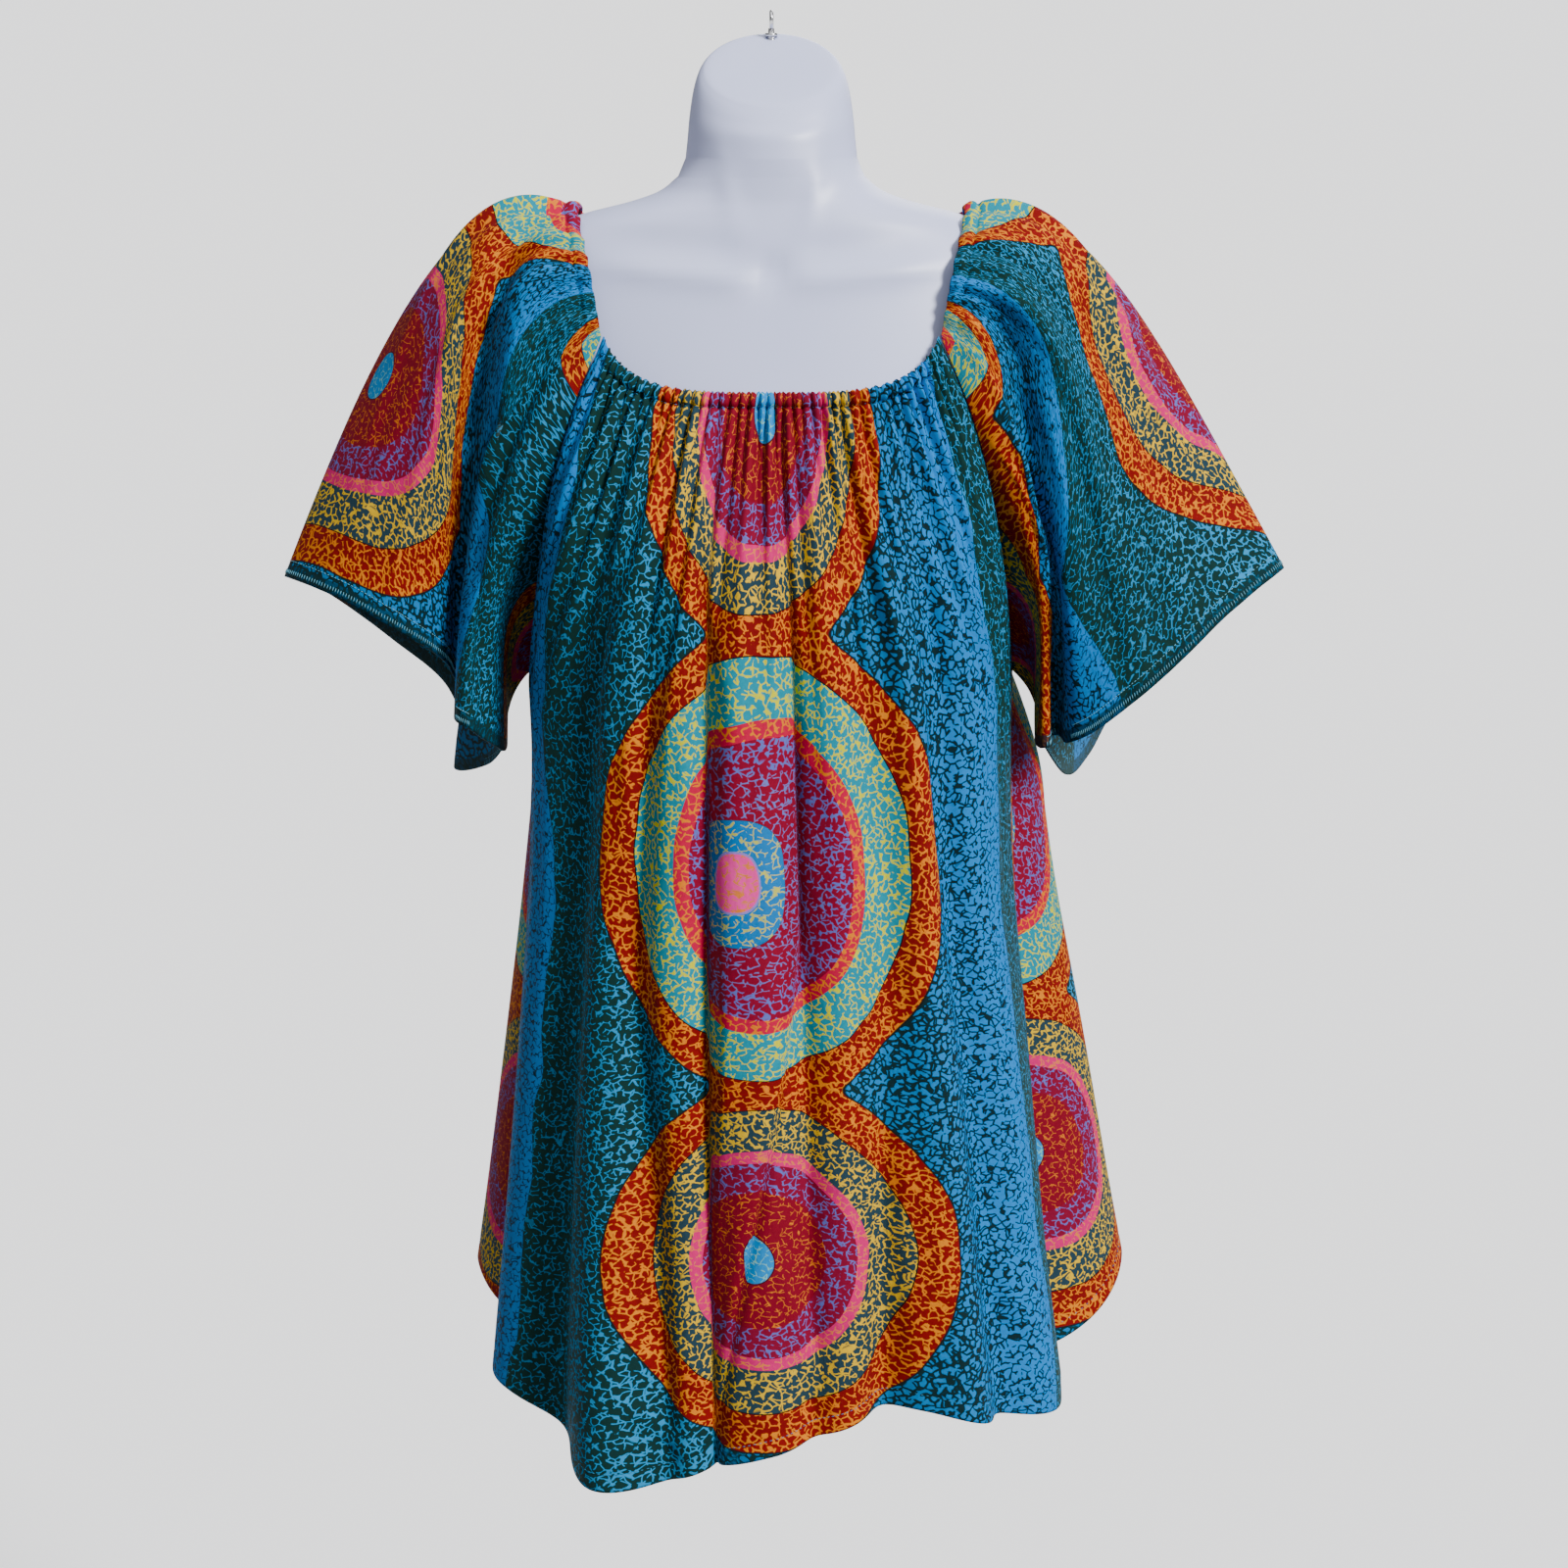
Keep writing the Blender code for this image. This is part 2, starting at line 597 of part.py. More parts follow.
def make_panel(name, facing, material, collection, parent):
    """The front or back of the dress, from the neck elastic to the hem."""
    columns = 2 * (FRONT_GATHERS if facing == FRONT else BACK_GATHERS)
    rows = len(PANEL_ROW_SHARES) - 1
    turns = [even_turns(facing, down, columns) for down in PANEL_ROW_SHARES]

    def place(column, row):
        across = 2.0 * column / columns - 1.0
        point = panel_point(facing, turns[row][column], across, PANEL_ROW_SHARES[row])
        if column in (0, columns):
            point.y += facing * SEAM_SETBACK
        return point

    panel = make_object(name, grid_mesh(columns, rows, place), material, collection, parent)
    add_wall(panel)


def make_sleeve(sleeve, material, collection, parent):
    """A wide flared sleeve: a tube from the armhole and neck elastic to its own hem."""
    shares = sleeve_shares()
    columns = len(shares)
    rows = len(SLEEVE_ROW_SHARES) - 1

    def place(column, row):
        return sleeve_point(sleeve, shares[column % columns], SLEEVE_ROW_SHARES[row])

    mesh = grid_mesh(columns, rows, place)
    closed_round(mesh)
    piece = make_object(sleeve.name, mesh, material, collection, parent)
    add_wall(piece)


def make_form(material, collection, parent, bore):
    """The smooth torso with its neck and tilted cap, one closed solid bored for the eye."""
    heights = []
    for lower, upper in zip(FORM_ROWS, FORM_ROWS[1:]):
        heights += [lower[0], mixed(lower[0], upper[0], 0.5)]
    heights.append(FORM_ROWS[-1][0])
    rings = len(heights) + len(NECK_ROWS)

    def place(column, row):
        around = (column % FORM_SIDES) / FORM_SIDES
        if row < len(heights):
            return form_point(around, heights[row])
        return neck_point(around, NECK_ROWS[row - len(heights)])

    mesh = grid_mesh(FORM_SIDES, rings - 1, place)
    closed_round(mesh)
    bmesh.ops.holes_fill(mesh, edges=mesh.edges, sides=FORM_SIDES)
    bmesh.ops.recalc_face_normals(mesh, faces=mesh.faces)
    form = make_object("dress_form", mesh, material, collection, parent)
    bored = form.modifiers.new("bore for the eye", "BOOLEAN")
    bored.operation = "DIFFERENCE"
    bored.object = bore


def make_rod(name, radius, top, bottom, material, collection):
    """An upright cylinder under the origin that only shapes other pieces."""
    mesh = bmesh.new()
    place = Matrix.Translation((0.0, 0.0, (top + bottom) / 2.0))
    bmesh.ops.create_cone(
        mesh,
        cap_ends=True,
        segments=EYE_SHANK_SIDES,
        radius1=radius,
        radius2=radius,
        depth=top - bottom,
        matrix=place,
    )
    rod = make_object(name, mesh, material, collection, None)
    rod.hide_render = True
    rod.display_type = "WIRE"
    return rod


def make_eye(material, collection, shank):
    """The wire eye, edge on from the front, on the threaded shank that stands in the neck cap."""
    bpy.ops.mesh.primitive_torus_add(
        major_radius=EYE_RING_RADIUS,
        minor_radius=EYE_WIRE_RADIUS,
        major_segments=EYE_RING_SIDES,
        minor_segments=EYE_WIRE_SIDES,
        location=(0.0, 0.0, EYE_WIRE_RADIUS - EYE_RING_RADIUS),
        rotation=(0.0, math.pi / 2.0, 0.0),
    )
    eye = bpy.context.object
    eye.name = "hanging_eye"
    eye.data.shade_smooth()
    eye.data.materials.append(material)
    for old in list(eye.users_collection):
        old.objects.unlink(eye)
    collection.objects.link(eye)
    joined = eye.modifiers.new("shank", "BOOLEAN")
    joined.operation = "UNION"
    joined.object = shank


def main():
    collection, cutters = fresh_scene()
    print_cotton = make_material("wax_print_cotton", COTTON_COLOUR, COTTON_ROUGHNESS)
    plastic = make_material("white_plastic", PLASTIC_COLOUR, PLASTIC_ROUGHNESS)
    steel = make_material("bright_steel", STEEL_COLOUR, STEEL_ROUGHNESS, 1.0)

    torso = bpy.data.objects.new("torso_middle", None)
    torso.location.y = TORSO_MIDDLE_Y
    collection.objects.link(torso)

    shank_foot = EYE_CAP_HEIGHT - EYE_SHANK_DEPTH
    shank = make_rod("shank", EYE_SHANK_RADIUS, EYE_SHANK_TOP, shank_foot, steel, cutters)
    bore_radius = EYE_SHANK_RADIUS + SEAM_GAP
    bore_top = EYE_CAP_HEIGHT + EYE_SHANK_DEPTH
    bore = make_rod("bore", bore_radius, bore_top, shank_foot - SEAM_GAP, plastic, cutters)
    make_eye(steel, collection, shank)
    make_form(plastic, collection, torso, bore)

    make_panel("dress_front", FRONT, print_cotton, collection, torso)
    make_panel("dress_back", BACK, print_cotton, collection, torso)
    for sleeve in SLEEVES:
        make_sleeve(sleeve, print_cotton, collection, torso)


main()
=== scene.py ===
# %% [markdown]
# A gathered wax print dress on a hanging form, as a lesson in cells.
# The dress is four pieces of printed cotton: a front, a back and two wide raglan sleeves.
# They are gathered on one round neck elastic and hang on a smooth white torso with no limbs.
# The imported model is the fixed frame, and every piece made here stands where its solid stands.

import math
from collections import namedtuple

import bmesh
import bpy
from mathutils import Matrix, Vector


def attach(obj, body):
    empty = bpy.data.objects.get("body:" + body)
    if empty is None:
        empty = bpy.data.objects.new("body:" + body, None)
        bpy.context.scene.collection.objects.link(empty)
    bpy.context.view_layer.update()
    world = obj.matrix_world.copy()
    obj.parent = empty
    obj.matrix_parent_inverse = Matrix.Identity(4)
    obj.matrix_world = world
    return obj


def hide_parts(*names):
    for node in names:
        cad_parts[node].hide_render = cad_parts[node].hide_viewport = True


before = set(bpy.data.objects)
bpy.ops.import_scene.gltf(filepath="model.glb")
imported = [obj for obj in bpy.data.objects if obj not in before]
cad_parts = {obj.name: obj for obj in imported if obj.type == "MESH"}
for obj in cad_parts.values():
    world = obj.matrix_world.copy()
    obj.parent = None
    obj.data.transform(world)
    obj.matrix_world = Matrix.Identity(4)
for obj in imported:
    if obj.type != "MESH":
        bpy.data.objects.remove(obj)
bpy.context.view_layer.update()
print("frame nodes:", ", ".join(sorted(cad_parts)))

# %% [markdown]
# Everything is in metres. The torso's middle lies a little in front of the hanging eye, so each
# shape is worked out about that middle and then moved by one vector. FRONT is towards -Y, and
# left and right are as the camera sees them.

# %% Driving sizes
TORSO_MIDDLE = Vector((0.0, -0.036, 0.0))
FRONT, BACK = -1.0, 1.0
LEFT, RIGHT = -1.0, 1.0
CLOTH_WALL = 0.0013
REST_GAP = 0.0006
UNDERARM_HEIGHT = -0.445
HALFWAY = 0.5
TINY = 1e-6
DETAIL = 1.0


# %% [markdown]
# A form that someone measured is best written as a short table: a row for each height, a column
# for each size. A smooth curve through the rows then gives every place between them, so the
# mesh can be as fine as it likes while the sizes stay few enough to read and change.

# %% Smooth tables
def eased(rows, at):
    """The values of a table at a position, on a smooth curve through its rows."""
    last = len(rows) - 1
    step = 0
    while step < last - 1 and rows[step + 1][0] < at:
        step += 1
    here = rows[step]
    there = rows[step + 1]
    before = rows[max(0, step - 1)]
    after = rows[min(last, step + 2)]
    span = there[0] - here[0]
    share = min(1.0, max(0.0, (at - here[0]) / span))
    square = share * share
    cube = square * share
    values = []
    for column in range(1, len(here)):
        slope_in = (there[column] - before[column]) / (there[0] - before[0]) * span
        slope_out = (after[column] - here[column]) / (after[0] - here[0]) * span
        values.append(
            (2 * cube - 3 * square + 1) * here[column]
            + (cube - 2 * square + share) * slope_in
            + (3 * square - 2 * cube) * there[column]
            + (cube - square) * slope_out
        )
    return values


def eased_round(rows, at):
    """As eased, for a table that goes once round a closed loop from 0 to 1."""
    around = [(rows[-1][0] - 1.0, *rows[-1][1:])]
    around.extend(rows)
    around.append((1.0, *rows[0][1:]))
    around.append((1.0 + rows[1][0], *rows[1][1:]))
    return eased(around, at % 1.0)


def mixed(start, end, share):
    """A value part of the way from start to end."""
    return start + (end - start) * share


def swell(away, width):
    """A soft bump that is 1 in its middle and fades over its width."""
    return math.exp(-((away / width) ** 2))


# %% [markdown]
# The torso's sizes come first, because the cloth rests on it. Heights are below the eye.

# %% Sizes of the form
# height, half width, front depth, back depth
FORM_ROWS = (
    (-0.720, 0.158, 0.100, 0.112),
    (-0.685, 0.160, 0.104, 0.115),
    (-0.620, 0.147, 0.097, 0.100),
    (-0.530, 0.122, 0.084, 0.080),
    (-0.450, 0.137, 0.098, 0.086),
    (-0.375, 0.150, 0.122, 0.095),
    (-0.320, 0.160, 0.114, 0.098),
    (-0.265, 0.176, 0.096, 0.096),
    (-0.215, 0.187, 0.081, 0.087),
    (-0.180, 0.184, 0.070, 0.075),
    (-0.156, 0.170, 0.062, 0.063),
    (-0.141, 0.150, 0.057, 0.057),
    (-0.132, 0.124, 0.054, 0.055),
    (-0.125, 0.096, 0.052, 0.054),
    (-0.118, 0.076, 0.051, 0.053),
    (-0.108, 0.063, 0.050, 0.053),
)
# centre height, half width, half depth, centre y, tilt in degrees
NECK_ROWS = (
    (-0.096, 0.0580, 0.0515, 0.001, 2.0),
    (-0.084, 0.0567, 0.0515, 0.002, 7.0),
    (-0.069, 0.0553, 0.0520, 0.003, 15.0),
    (-0.054, 0.0530, 0.0520, 0.004, 25.0),
    (-0.0445, 0.0502, 0.0512, 0.004, 31.0),
    (-0.0395, 0.0470, 0.0482, 0.004, 33.0),
    (-0.0372, 0.0425, 0.0435, 0.004, 33.0),
    (-0.0364, 0.0300, 0.0310, 0.004, 33.0),
    (-0.0362, 0.0140, 0.0150, 0.004, 33.0),
)
FORM_ROUNDNESS = 2.2

# %% [markdown]
# The neck opening, the raglan seams and the side seams are where the four pieces of cloth meet.
# They are lines in space, so each piece can be worked out alone and still meet its neighbour.

# %% Sizes of the seams and the hems
NECK_FRONT_CORNER_HEIGHT = -0.212
NECK_FRONT_HEIGHT = -0.247
NECK_BACK_CORNER_HEIGHT = -0.200
NECK_BACK_HEIGHT = -0.222
NECK_DIP_POWER = 3.8
# height, half width of the front at the seam, depth of the seam behind the torso's middle
RAGLAN_FRONT_ROWS = (
    (-0.445, 0.1660, 0.000),
    (-0.405, 0.1620, -0.022),
    (-0.360, 0.1550, -0.050),
    (-0.310, 0.1450, -0.074),
    (-0.260, 0.1300, -0.082),
    (-0.212, 0.1100, -0.076),
)
RAGLAN_BACK_ROWS = (
    (-0.445, 0.1660, 0.000),
    (-0.405, 0.1640, 0.026),
    (-0.360, 0.1590, 0.054),
    (-0.310, 0.1490, 0.074),
    (-0.260, 0.1330, 0.084),
    (-0.200, 0.1100, 0.084),
)
# height, left seam x, right seam x
SIDE_SEAM_ROWS = (
    (-0.945, -0.186, 0.200),
    (-0.850, -0.180, 0.191),
    (-0.720, -0.173, 0.181),
    (-0.600, -0.167, 0.170),
    (-0.500, -0.164, 0.166),
    (-0.445, -0.166, 0.166),
)
# height, depth in front of and behind the torso's middle
BODY_DEPTH_ROWS = (
    (-0.960, 0.166, 0.150),
    (-0.850, 0.163, 0.143),
    (-0.700, 0.156, 0.132),
    (-0.550, 0.149, 0.120),
    (-0.430, 0.143, 0.113),
    (-0.360, 0.135, 0.111),
    (-0.300, 0.117, 0.108),
    (-0.247, 0.094, 0.099),
    (-0.212, 0.084, 0.092),
)
# across from -1 to 1, hem height
FRONT_HEM_ROWS = (
    (-1.00, -0.922),
    (-0.88, -0.936),
    (-0.72, -0.944),
    (-0.51, -0.974),
    (-0.30, -0.984),
    (-0.09, -0.966),
    (0.10, -0.943),
    (0.27, -0.931),
    (0.50, -0.948),
    (0.85, -0.962),
    (1.00, -0.946),
)
BACK_HEM_ROWS = (
    (-1.00, -0.922),
    (-0.86, -0.898),
    (-0.40, -0.925),
    (0.00, -0.935),
    (0.40, -0.930),
    (0.60, -0.926),
    (0.86, -0.897),
    (1.00, -0.946),
)
BODY_ROUNDNESS = 2.3
BODY_HALF_WIDTH = 0.180
SEAM_EASE_POWER = 9
RING_STEPS = 160

# %% [markdown]
# The big folds are the shape of the dress from a step away. Each row is one fold: where it runs
# at the neck, halfway and at the hem, how wide it is, and how far it stands out. A negative
# height is a valley. The overhang leans a fold over, as the flat pleat in the middle does.

# %% Big folds of the body
# share down where it begins, share of the half width at the neck, halfway and at the hem,
# half width of the fold, height halfway and at the hem, overhang
FRONT_FOLDS = (
    (0.00, -0.86, -0.92, -0.96, 0.018, 0.008, 0.024, 0.0),
    (0.00, -0.70, -0.79, -0.82, 0.014, -0.010, -0.014, 0.0),
    (0.00, -0.54, -0.66, -0.58, 0.024, 0.008, 0.026, 0.0),
    (0.00, -0.44, -0.54, -0.38, 0.012, -0.010, -0.004, 0.0),
    (0.00, -0.34, -0.38, -0.30, 0.020, 0.009, 0.006, 0.0),
    (0.00, -0.24, -0.25, -0.20, 0.010, -0.010, -0.006, 0.0),
    (0.00, -0.12, -0.08, -0.04, 0.024, 0.016, 0.010, 0.45),
    (0.00, 0.06, 0.11, 0.14, 0.010, -0.011, -0.006, 0.0),
    (0.00, 0.20, 0.30, 0.26, 0.022, 0.006, 0.002, 0.0),
    (0.00, 0.34, 0.46, 0.40, 0.014, -0.008, -0.016, 0.0),
    (0.00, 0.48, 0.60, 0.66, 0.020, 0.010, 0.018, 0.0),
    (0.00, 0.62, 0.72, 0.80, 0.012, -0.010, -0.010, 0.0),
    (0.00, 0.76, 0.84, 0.93, 0.018, 0.008, 0.018, 0.0),
)
BACK_FOLDS = (
    (0.35, -0.95, -0.95, -0.95, 0.024, 0.015, 0.056, 0.0),
    (0.00, -0.74, -0.76, -0.76, 0.016, -0.009, -0.016, 0.0),
    (0.00, -0.54, -0.52, -0.52, 0.022, 0.009, 0.018, 0.0),
    (0.00, -0.34, -0.32, -0.32, 0.014, -0.008, -0.012, 0.0),
    (0.00, -0.12, -0.10, -0.12, 0.020, 0.011, 0.018, 0.0),
    (0.00, 0.08, 0.08, 0.08, 0.012, -0.009, -0.010, 0.0),
    (0.00, 0.24, 0.26, 0.28, 0.020, 0.010, 0.020, 0.0),
    (0.00, 0.42, 0.44, 0.46, 0.015, -0.009, -0.014, 0.0),
    (0.00, 0.60, 0.62, 0.62, 0.020, 0.008, 0.016, 0.0),
    (0.00, 0.76, 0.78, 0.76, 0.014, -0.008, -0.014, 0.0),
    (0.34, 0.955, 0.955, 0.945, 0.026, 0.042, 0.088, 0.0),
)

# %% [markdown]
# Smaller creases are what makes cloth read as cloth. They were placed one by one: soft ridges and
# troughs of uneven length and depth that fade at both ends. The back has similar ones.

# %% Small creases of the body
# share of the half width at the top and at the foot, share down at the top and at the foot,
# half width, height
FRONT_CREASES = (
    (-0.50, -0.58, 0.03, 0.42, 0.0050, 0.0030),
    (-0.30, -0.46, 0.02, 0.36, 0.0045, -0.0034),
    (-0.20, -0.31, 0.10, 0.62, 0.0040, 0.0024),
    (-0.33, -0.12, 0.06, 0.30, 0.0050, 0.0026),
    (-0.02, -0.02, 0.10, 0.48, 0.0040, -0.0018),
    (0.14, 0.22, 0.02, 0.40, 0.0050, 0.0030),
    (0.31, 0.36, 0.01, 0.30, 0.0040, -0.0030),
    (0.40, 0.56, 0.02, 0.46, 0.0055, 0.0034),
    (0.52, 0.70, 0.02, 0.55, 0.0045, -0.0030),
    (0.66, 0.80, 0.04, 0.60, 0.0050, 0.0026),
    (-0.66, -0.72, 0.04, 0.50, 0.0050, -0.0028),
    (0.34, 0.31, 0.50, 0.86, 0.0060, -0.0036),
    (0.46, 0.50, 0.58, 1.02, 0.0070, 0.0040),
    (-0.44, -0.36, 0.62, 1.02, 0.0070, -0.0036),
    (-0.70, -0.78, 0.55, 1.02, 0.0080, 0.0034),
    (-0.14, -0.22, 0.52, 0.90, 0.0050, 0.0030),
    (0.02, 0.16, 0.80, 0.97, 0.0060, 0.0026),
    (0.30, 0.08, 0.88, 0.98, 0.0055, -0.0026),
    (0.78, 0.86, 0.80, 0.92, 0.0060, 0.0030),
    (-0.55, -0.30, 0.90, 0.98, 0.0060, 0.0024),
)
BACK_CREASES = (
    (-0.64, -0.70, 0.03, 0.50, 0.0055, 0.0030),
    (-0.44, -0.42, 0.02, 0.40, 0.0045, -0.0030),
    (-0.22, -0.20, 0.04, 0.66, 0.0050, 0.0028),
    (-0.02, 0.02, 0.02, 0.44, 0.0045, -0.0030),
    (0.16, 0.20, 0.03, 0.58, 0.0050, 0.0026),
    (0.34, 0.36, 0.02, 0.38, 0.0045, -0.0028),
    (0.52, 0.54, 0.05, 0.70, 0.0055, 0.0030),
    (0.68, 0.72, 0.02, 0.46, 0.0050, -0.0026),
    (-0.56, -0.60, 0.52, 1.02, 0.0070, 0.0034),
    (-0.16, -0.10, 0.60, 1.02, 0.0060, -0.0032),
    (0.30, 0.34, 0.56, 1.02, 0.0070, 0.0036),
    (0.66, 0.70, 0.62, 0.96, 0.0060, -0.0030),
    (-0.36, -0.14, 0.86, 0.96, 0.0060, 0.0024),
)
# share down where it begins, share of the half width at the neck, halfway and at the hem,
# cloth hidden under the pleat halfway and at the hem, depth of its slit
FRONT_TUCKS = (
    (0.02, -0.24, -0.25, -0.20, 0.041, 0.018, 0.0035),
    (0.02, 0.06, 0.11, -0.20, 0.026, 0.000, 0.0035),
)

# %% [markdown]
# The neck is gathered on elastic. Cloth that is pushed together makes many small waves that are
# never quite even, so the wave's count drifts and its depth varies along the edge.
# Above them the casing that holds the elastic is a soft tube with its own tighter puckers.

# %% Sizes of the gathers
CASING_HEIGHT = 0.0095
CASING_ROUND = 0.0018
CASING_PUCKER = 0.0010
CASING_PINCH = 0.0014
CASING_PINCH_WIDTH = 0.0016
CASING_SCALLOP = 0.0008
GATHER_DEPTH = 0.0036
GATHER_FADE = 0.060
LONG_GATHER_DEPTH = 0.0048
LONG_GATHER_FADE = 0.160
LONG_GATHER_RISE = 0.012
LONG_GATHER_DRIFT = 1.5
GATHER_DRIFT = 1.9
PUCKERS_PER_GATHER = 1.9
CASING_GATHER_SHARE = 0.55
GATHER_MEAN = 0.8
GATHER_VARIETY = 0.45
# share of the whole, waves for each unit across, how far the seed moves it
UNEVEN_WAVES = ((0.45, 7.3, 1.0), (0.35, 16.7, 2.3), (0.2, 37.1, 3.7))
TUCK_SLIT_WIDTH = 0.0032
TUCK_EDGE = 0.004
HEM_TURN = 0.012
HEM_GROOVE = 0.0005
HEM_GROOVE_WIDTH = 0.0022

# %% [markdown]
# The cloth is printed before it is cut, so the print needs to know where each point lay on the
# flat cloth. These rows give the flat half width and the place of a medallion column on each
# panel. Front and back are both cut on a column.

# %% Flat cloth of the panels
# share down, flat half width, share across where the print's own zero lies
FRONT_FLAT_ROWS = (
    (0.00, 0.267, -0.032),
    (0.15, 0.282, -0.020),
    (0.42, 0.306, 0.010),
    (0.80, 0.308, 0.018),
    (1.00, 0.308, 0.012),
)
BACK_FLAT_ROWS = (
    (0.00, 0.330, 0.000),
    (0.42, 0.418, 0.000),
    (0.80, 0.465, 0.000),
    (1.00, 0.475, 0.000),
)
# drop below the middle of the neck, flat distance down the cloth
FLAT_DOWN_ROWS = (
    (-0.050, -0.048),
    (0.014, 0.013),
    (0.315, 0.298),
    (0.568, 0.583),
    (0.750, 0.776),
)
COLUMN_SPACING = 0.472

Panel = namedtuple(
    "Panel", "name node facing gathers columns folds creases tucks flat_rows print_down"
)
FRONT_PANEL = Panel(
    "front_cloth", "dress_front", FRONT, 42, 276,
    FRONT_FOLDS, FRONT_CREASES, FRONT_TUCKS, FRONT_FLAT_ROWS, 0.0,
)
BACK_PANEL = Panel(
    "back_cloth", "dress_back", BACK, 38, 256,
    BACK_FOLDS, BACK_CREASES, (), BACK_FLAT_ROWS, 0.020,
)


# %% [markdown]
# These functions place one point of a panel. First comes a plain ring at that height, then the
# folds push it out, and last it is kept off the torso where it would otherwise sink in.

# %% Points of the panels
def superellipse(angle, half_width, half_depth, roundness):
    """A point of a rounded-square ring, at an angle from its middle."""
    cosine = math.cos(angle)
    sine = math.sin(angle)
    x = half_width * math.copysign(abs(sine) ** (2.0 / roundness), sine)
    y = half_depth * math.copysign(abs(cosine) ** (2.0 / roundness), cosine)
    return x, y


def kept_off_form(point, clearance):
    """The point, moved out level from the torso's axis where it is too near to the skin."""
    lowest = FORM_ROWS[0][0]
    if point.z < lowest - clearance:
        return point
    half_width, front, back = eased(FORM_ROWS, max(point.z, lowest))
    depth = (front if point.y < 0.0 else back) + clearance
    reach = (abs(point.x) / (half_width + clearance)) ** FORM_ROUNDNESS
    reach += (abs(point.y) / depth) ** FORM_ROUNDNESS
    if reach >= 1.0 or reach < TINY:
        return point
    grow = reach ** (-1.0 / FORM_ROUNDNESS)
    return Vector((point.x * grow, point.y * grow, point.z))


def seam_point(facing, side, height):
    """A point of the seam at a panel's edge: raglan above the underarm, side seam below it."""
    if height > UNDERARM_HEIGHT:
        rows = RAGLAN_FRONT_ROWS if facing == FRONT else RAGLAN_BACK_ROWS
        x, y = eased(rows, height)
        return side * x, y
    left, right = eased(SIDE_SEAM_ROWS, height)
    return (left if side == LEFT else right), 0.0


def neck_height(facing, share):
    """The height of a panel's neck edge at a share of its half width."""
    if facing == FRONT:
        corner, middle = NECK_FRONT_CORNER_HEIGHT, NECK_FRONT_HEIGHT
    else:
        corner, middle = NECK_BACK_CORNER_HEIGHT, NECK_BACK_HEIGHT
    return mixed(middle, corner, abs(share) ** NECK_DIP_POWER)


def three_part(neck, middle, hem, down):
    """A value that goes from the neck's to the middle's, and on to the hem's."""
    early = min(1.0, down / HALFWAY)
    late = max(0.0, (down - HALFWAY) / HALFWAY)
    return mixed(mixed(neck, middle, early), hem, late)


def grown_by(down, begin):
    """How far a fold has grown, from 0 where it begins to 1 halfway down."""
    share = min(1.0, max(0.0, (down - begin) / (HALFWAY - begin)))
    return math.sin(share * math.pi / 2.0)


def fold_push(folds, at, down, unit):
    """How far a table of folds pushes the cloth out and along; the fold widths are in units."""
    out = 0.0
    along = 0.0
    late = max(0.0, (down - HALFWAY) / HALFWAY)
    for begin, top, middle, hem, width, height_middle, height_hem, overhang in folds:
        centre = three_part(top, middle, hem, down)
        height = mixed(height_middle * grown_by(down, begin), height_hem, late)
        away = (at - centre) * unit / width
        bump = math.exp(-away * away)
        out += height * bump
        along += overhang * height * away * bump
    return out, along


def crease_push(creases, at, down, unit):
    """How far the small creases push the cloth out: ridges and troughs that fade at both ends."""
    out = 0.0
    for top_at, foot_at, top, foot, width, height in creases:
        if top < down < foot:
            share = (down - top) / (foot - top)
            away = (at - mixed(top_at, foot_at, share)) * unit
            out += height * math.sin(share * math.pi) ** 0.8 * swell(away, width)
    return out


def tuck_push(tucks, at, down):
    """The slits beside the flat pleat: how far they push the cloth in, and the cloth they hide."""
    out = 0.0
    hidden = 0.0
    late = max(0.0, (down - HALFWAY) / HALFWAY)
    for begin, top, middle, hem, hidden_middle, hidden_hem, depth in tucks:
        grown = grown_by(down, begin)
        away = at - three_part(top, middle, hem, down)
        out -= depth * grown * swell(away * BODY_HALF_WIDTH, TUCK_SLIT_WIDTH)
        hidden += mixed(hidden_middle * grown, hidden_hem, late) * 0.5 * math.tanh(away / TUCK_EDGE)
    return out, hidden


def uneven(across, seed):
    """A smooth wandering value between about -1 and 1 along a gathered edge."""
    waves = (share * math.sin(across * rate + seed * shift) for share, rate, shift in UNEVEN_WAVES)
    return sum(waves)


def gather_push(across, drop, gathers, seed):
    """How far the neck gathers and the casing push the cloth out and up, at a drop below."""
    turn = across * gathers * math.pi + GATHER_DRIFT * uneven(across, seed)
    if drop < CASING_HEIGHT:
        tube = math.sin(math.pi * max(0.0, drop) / CASING_HEIGHT)
        out = CASING_ROUND * tube + CASING_PUCKER * math.cos(turn * PUCKERS_PER_GATHER) * tube**0.5
        out += GATHER_DEPTH * CASING_GATHER_SHARE * math.cos(turn)
    else:
        below = drop - CASING_HEIGHT
        strength = GATHER_MEAN + GATHER_VARIETY * uneven(across, seed + 1.0)
        out = GATHER_DEPTH * strength * math.cos(turn) * math.exp(-below / GATHER_FADE)
        slow_turn = turn / 2.0 + LONG_GATHER_DRIFT * uneven(across, seed + 2.0)
        rise = 1.0 - math.exp(-below / LONG_GATHER_RISE)
        fade = math.exp(-below / LONG_GATHER_FADE)
        out += LONG_GATHER_DEPTH * strength * rise * math.cos(slow_turn) * fade
    out -= CASING_PINCH * swell(drop - CASING_HEIGHT, CASING_PINCH_WIDTH)
    scallop = math.cos(turn * PUCKERS_PER_GATHER) * swell(drop, CASING_HEIGHT / 2.0)
    return out, CASING_SCALLOP * scallop


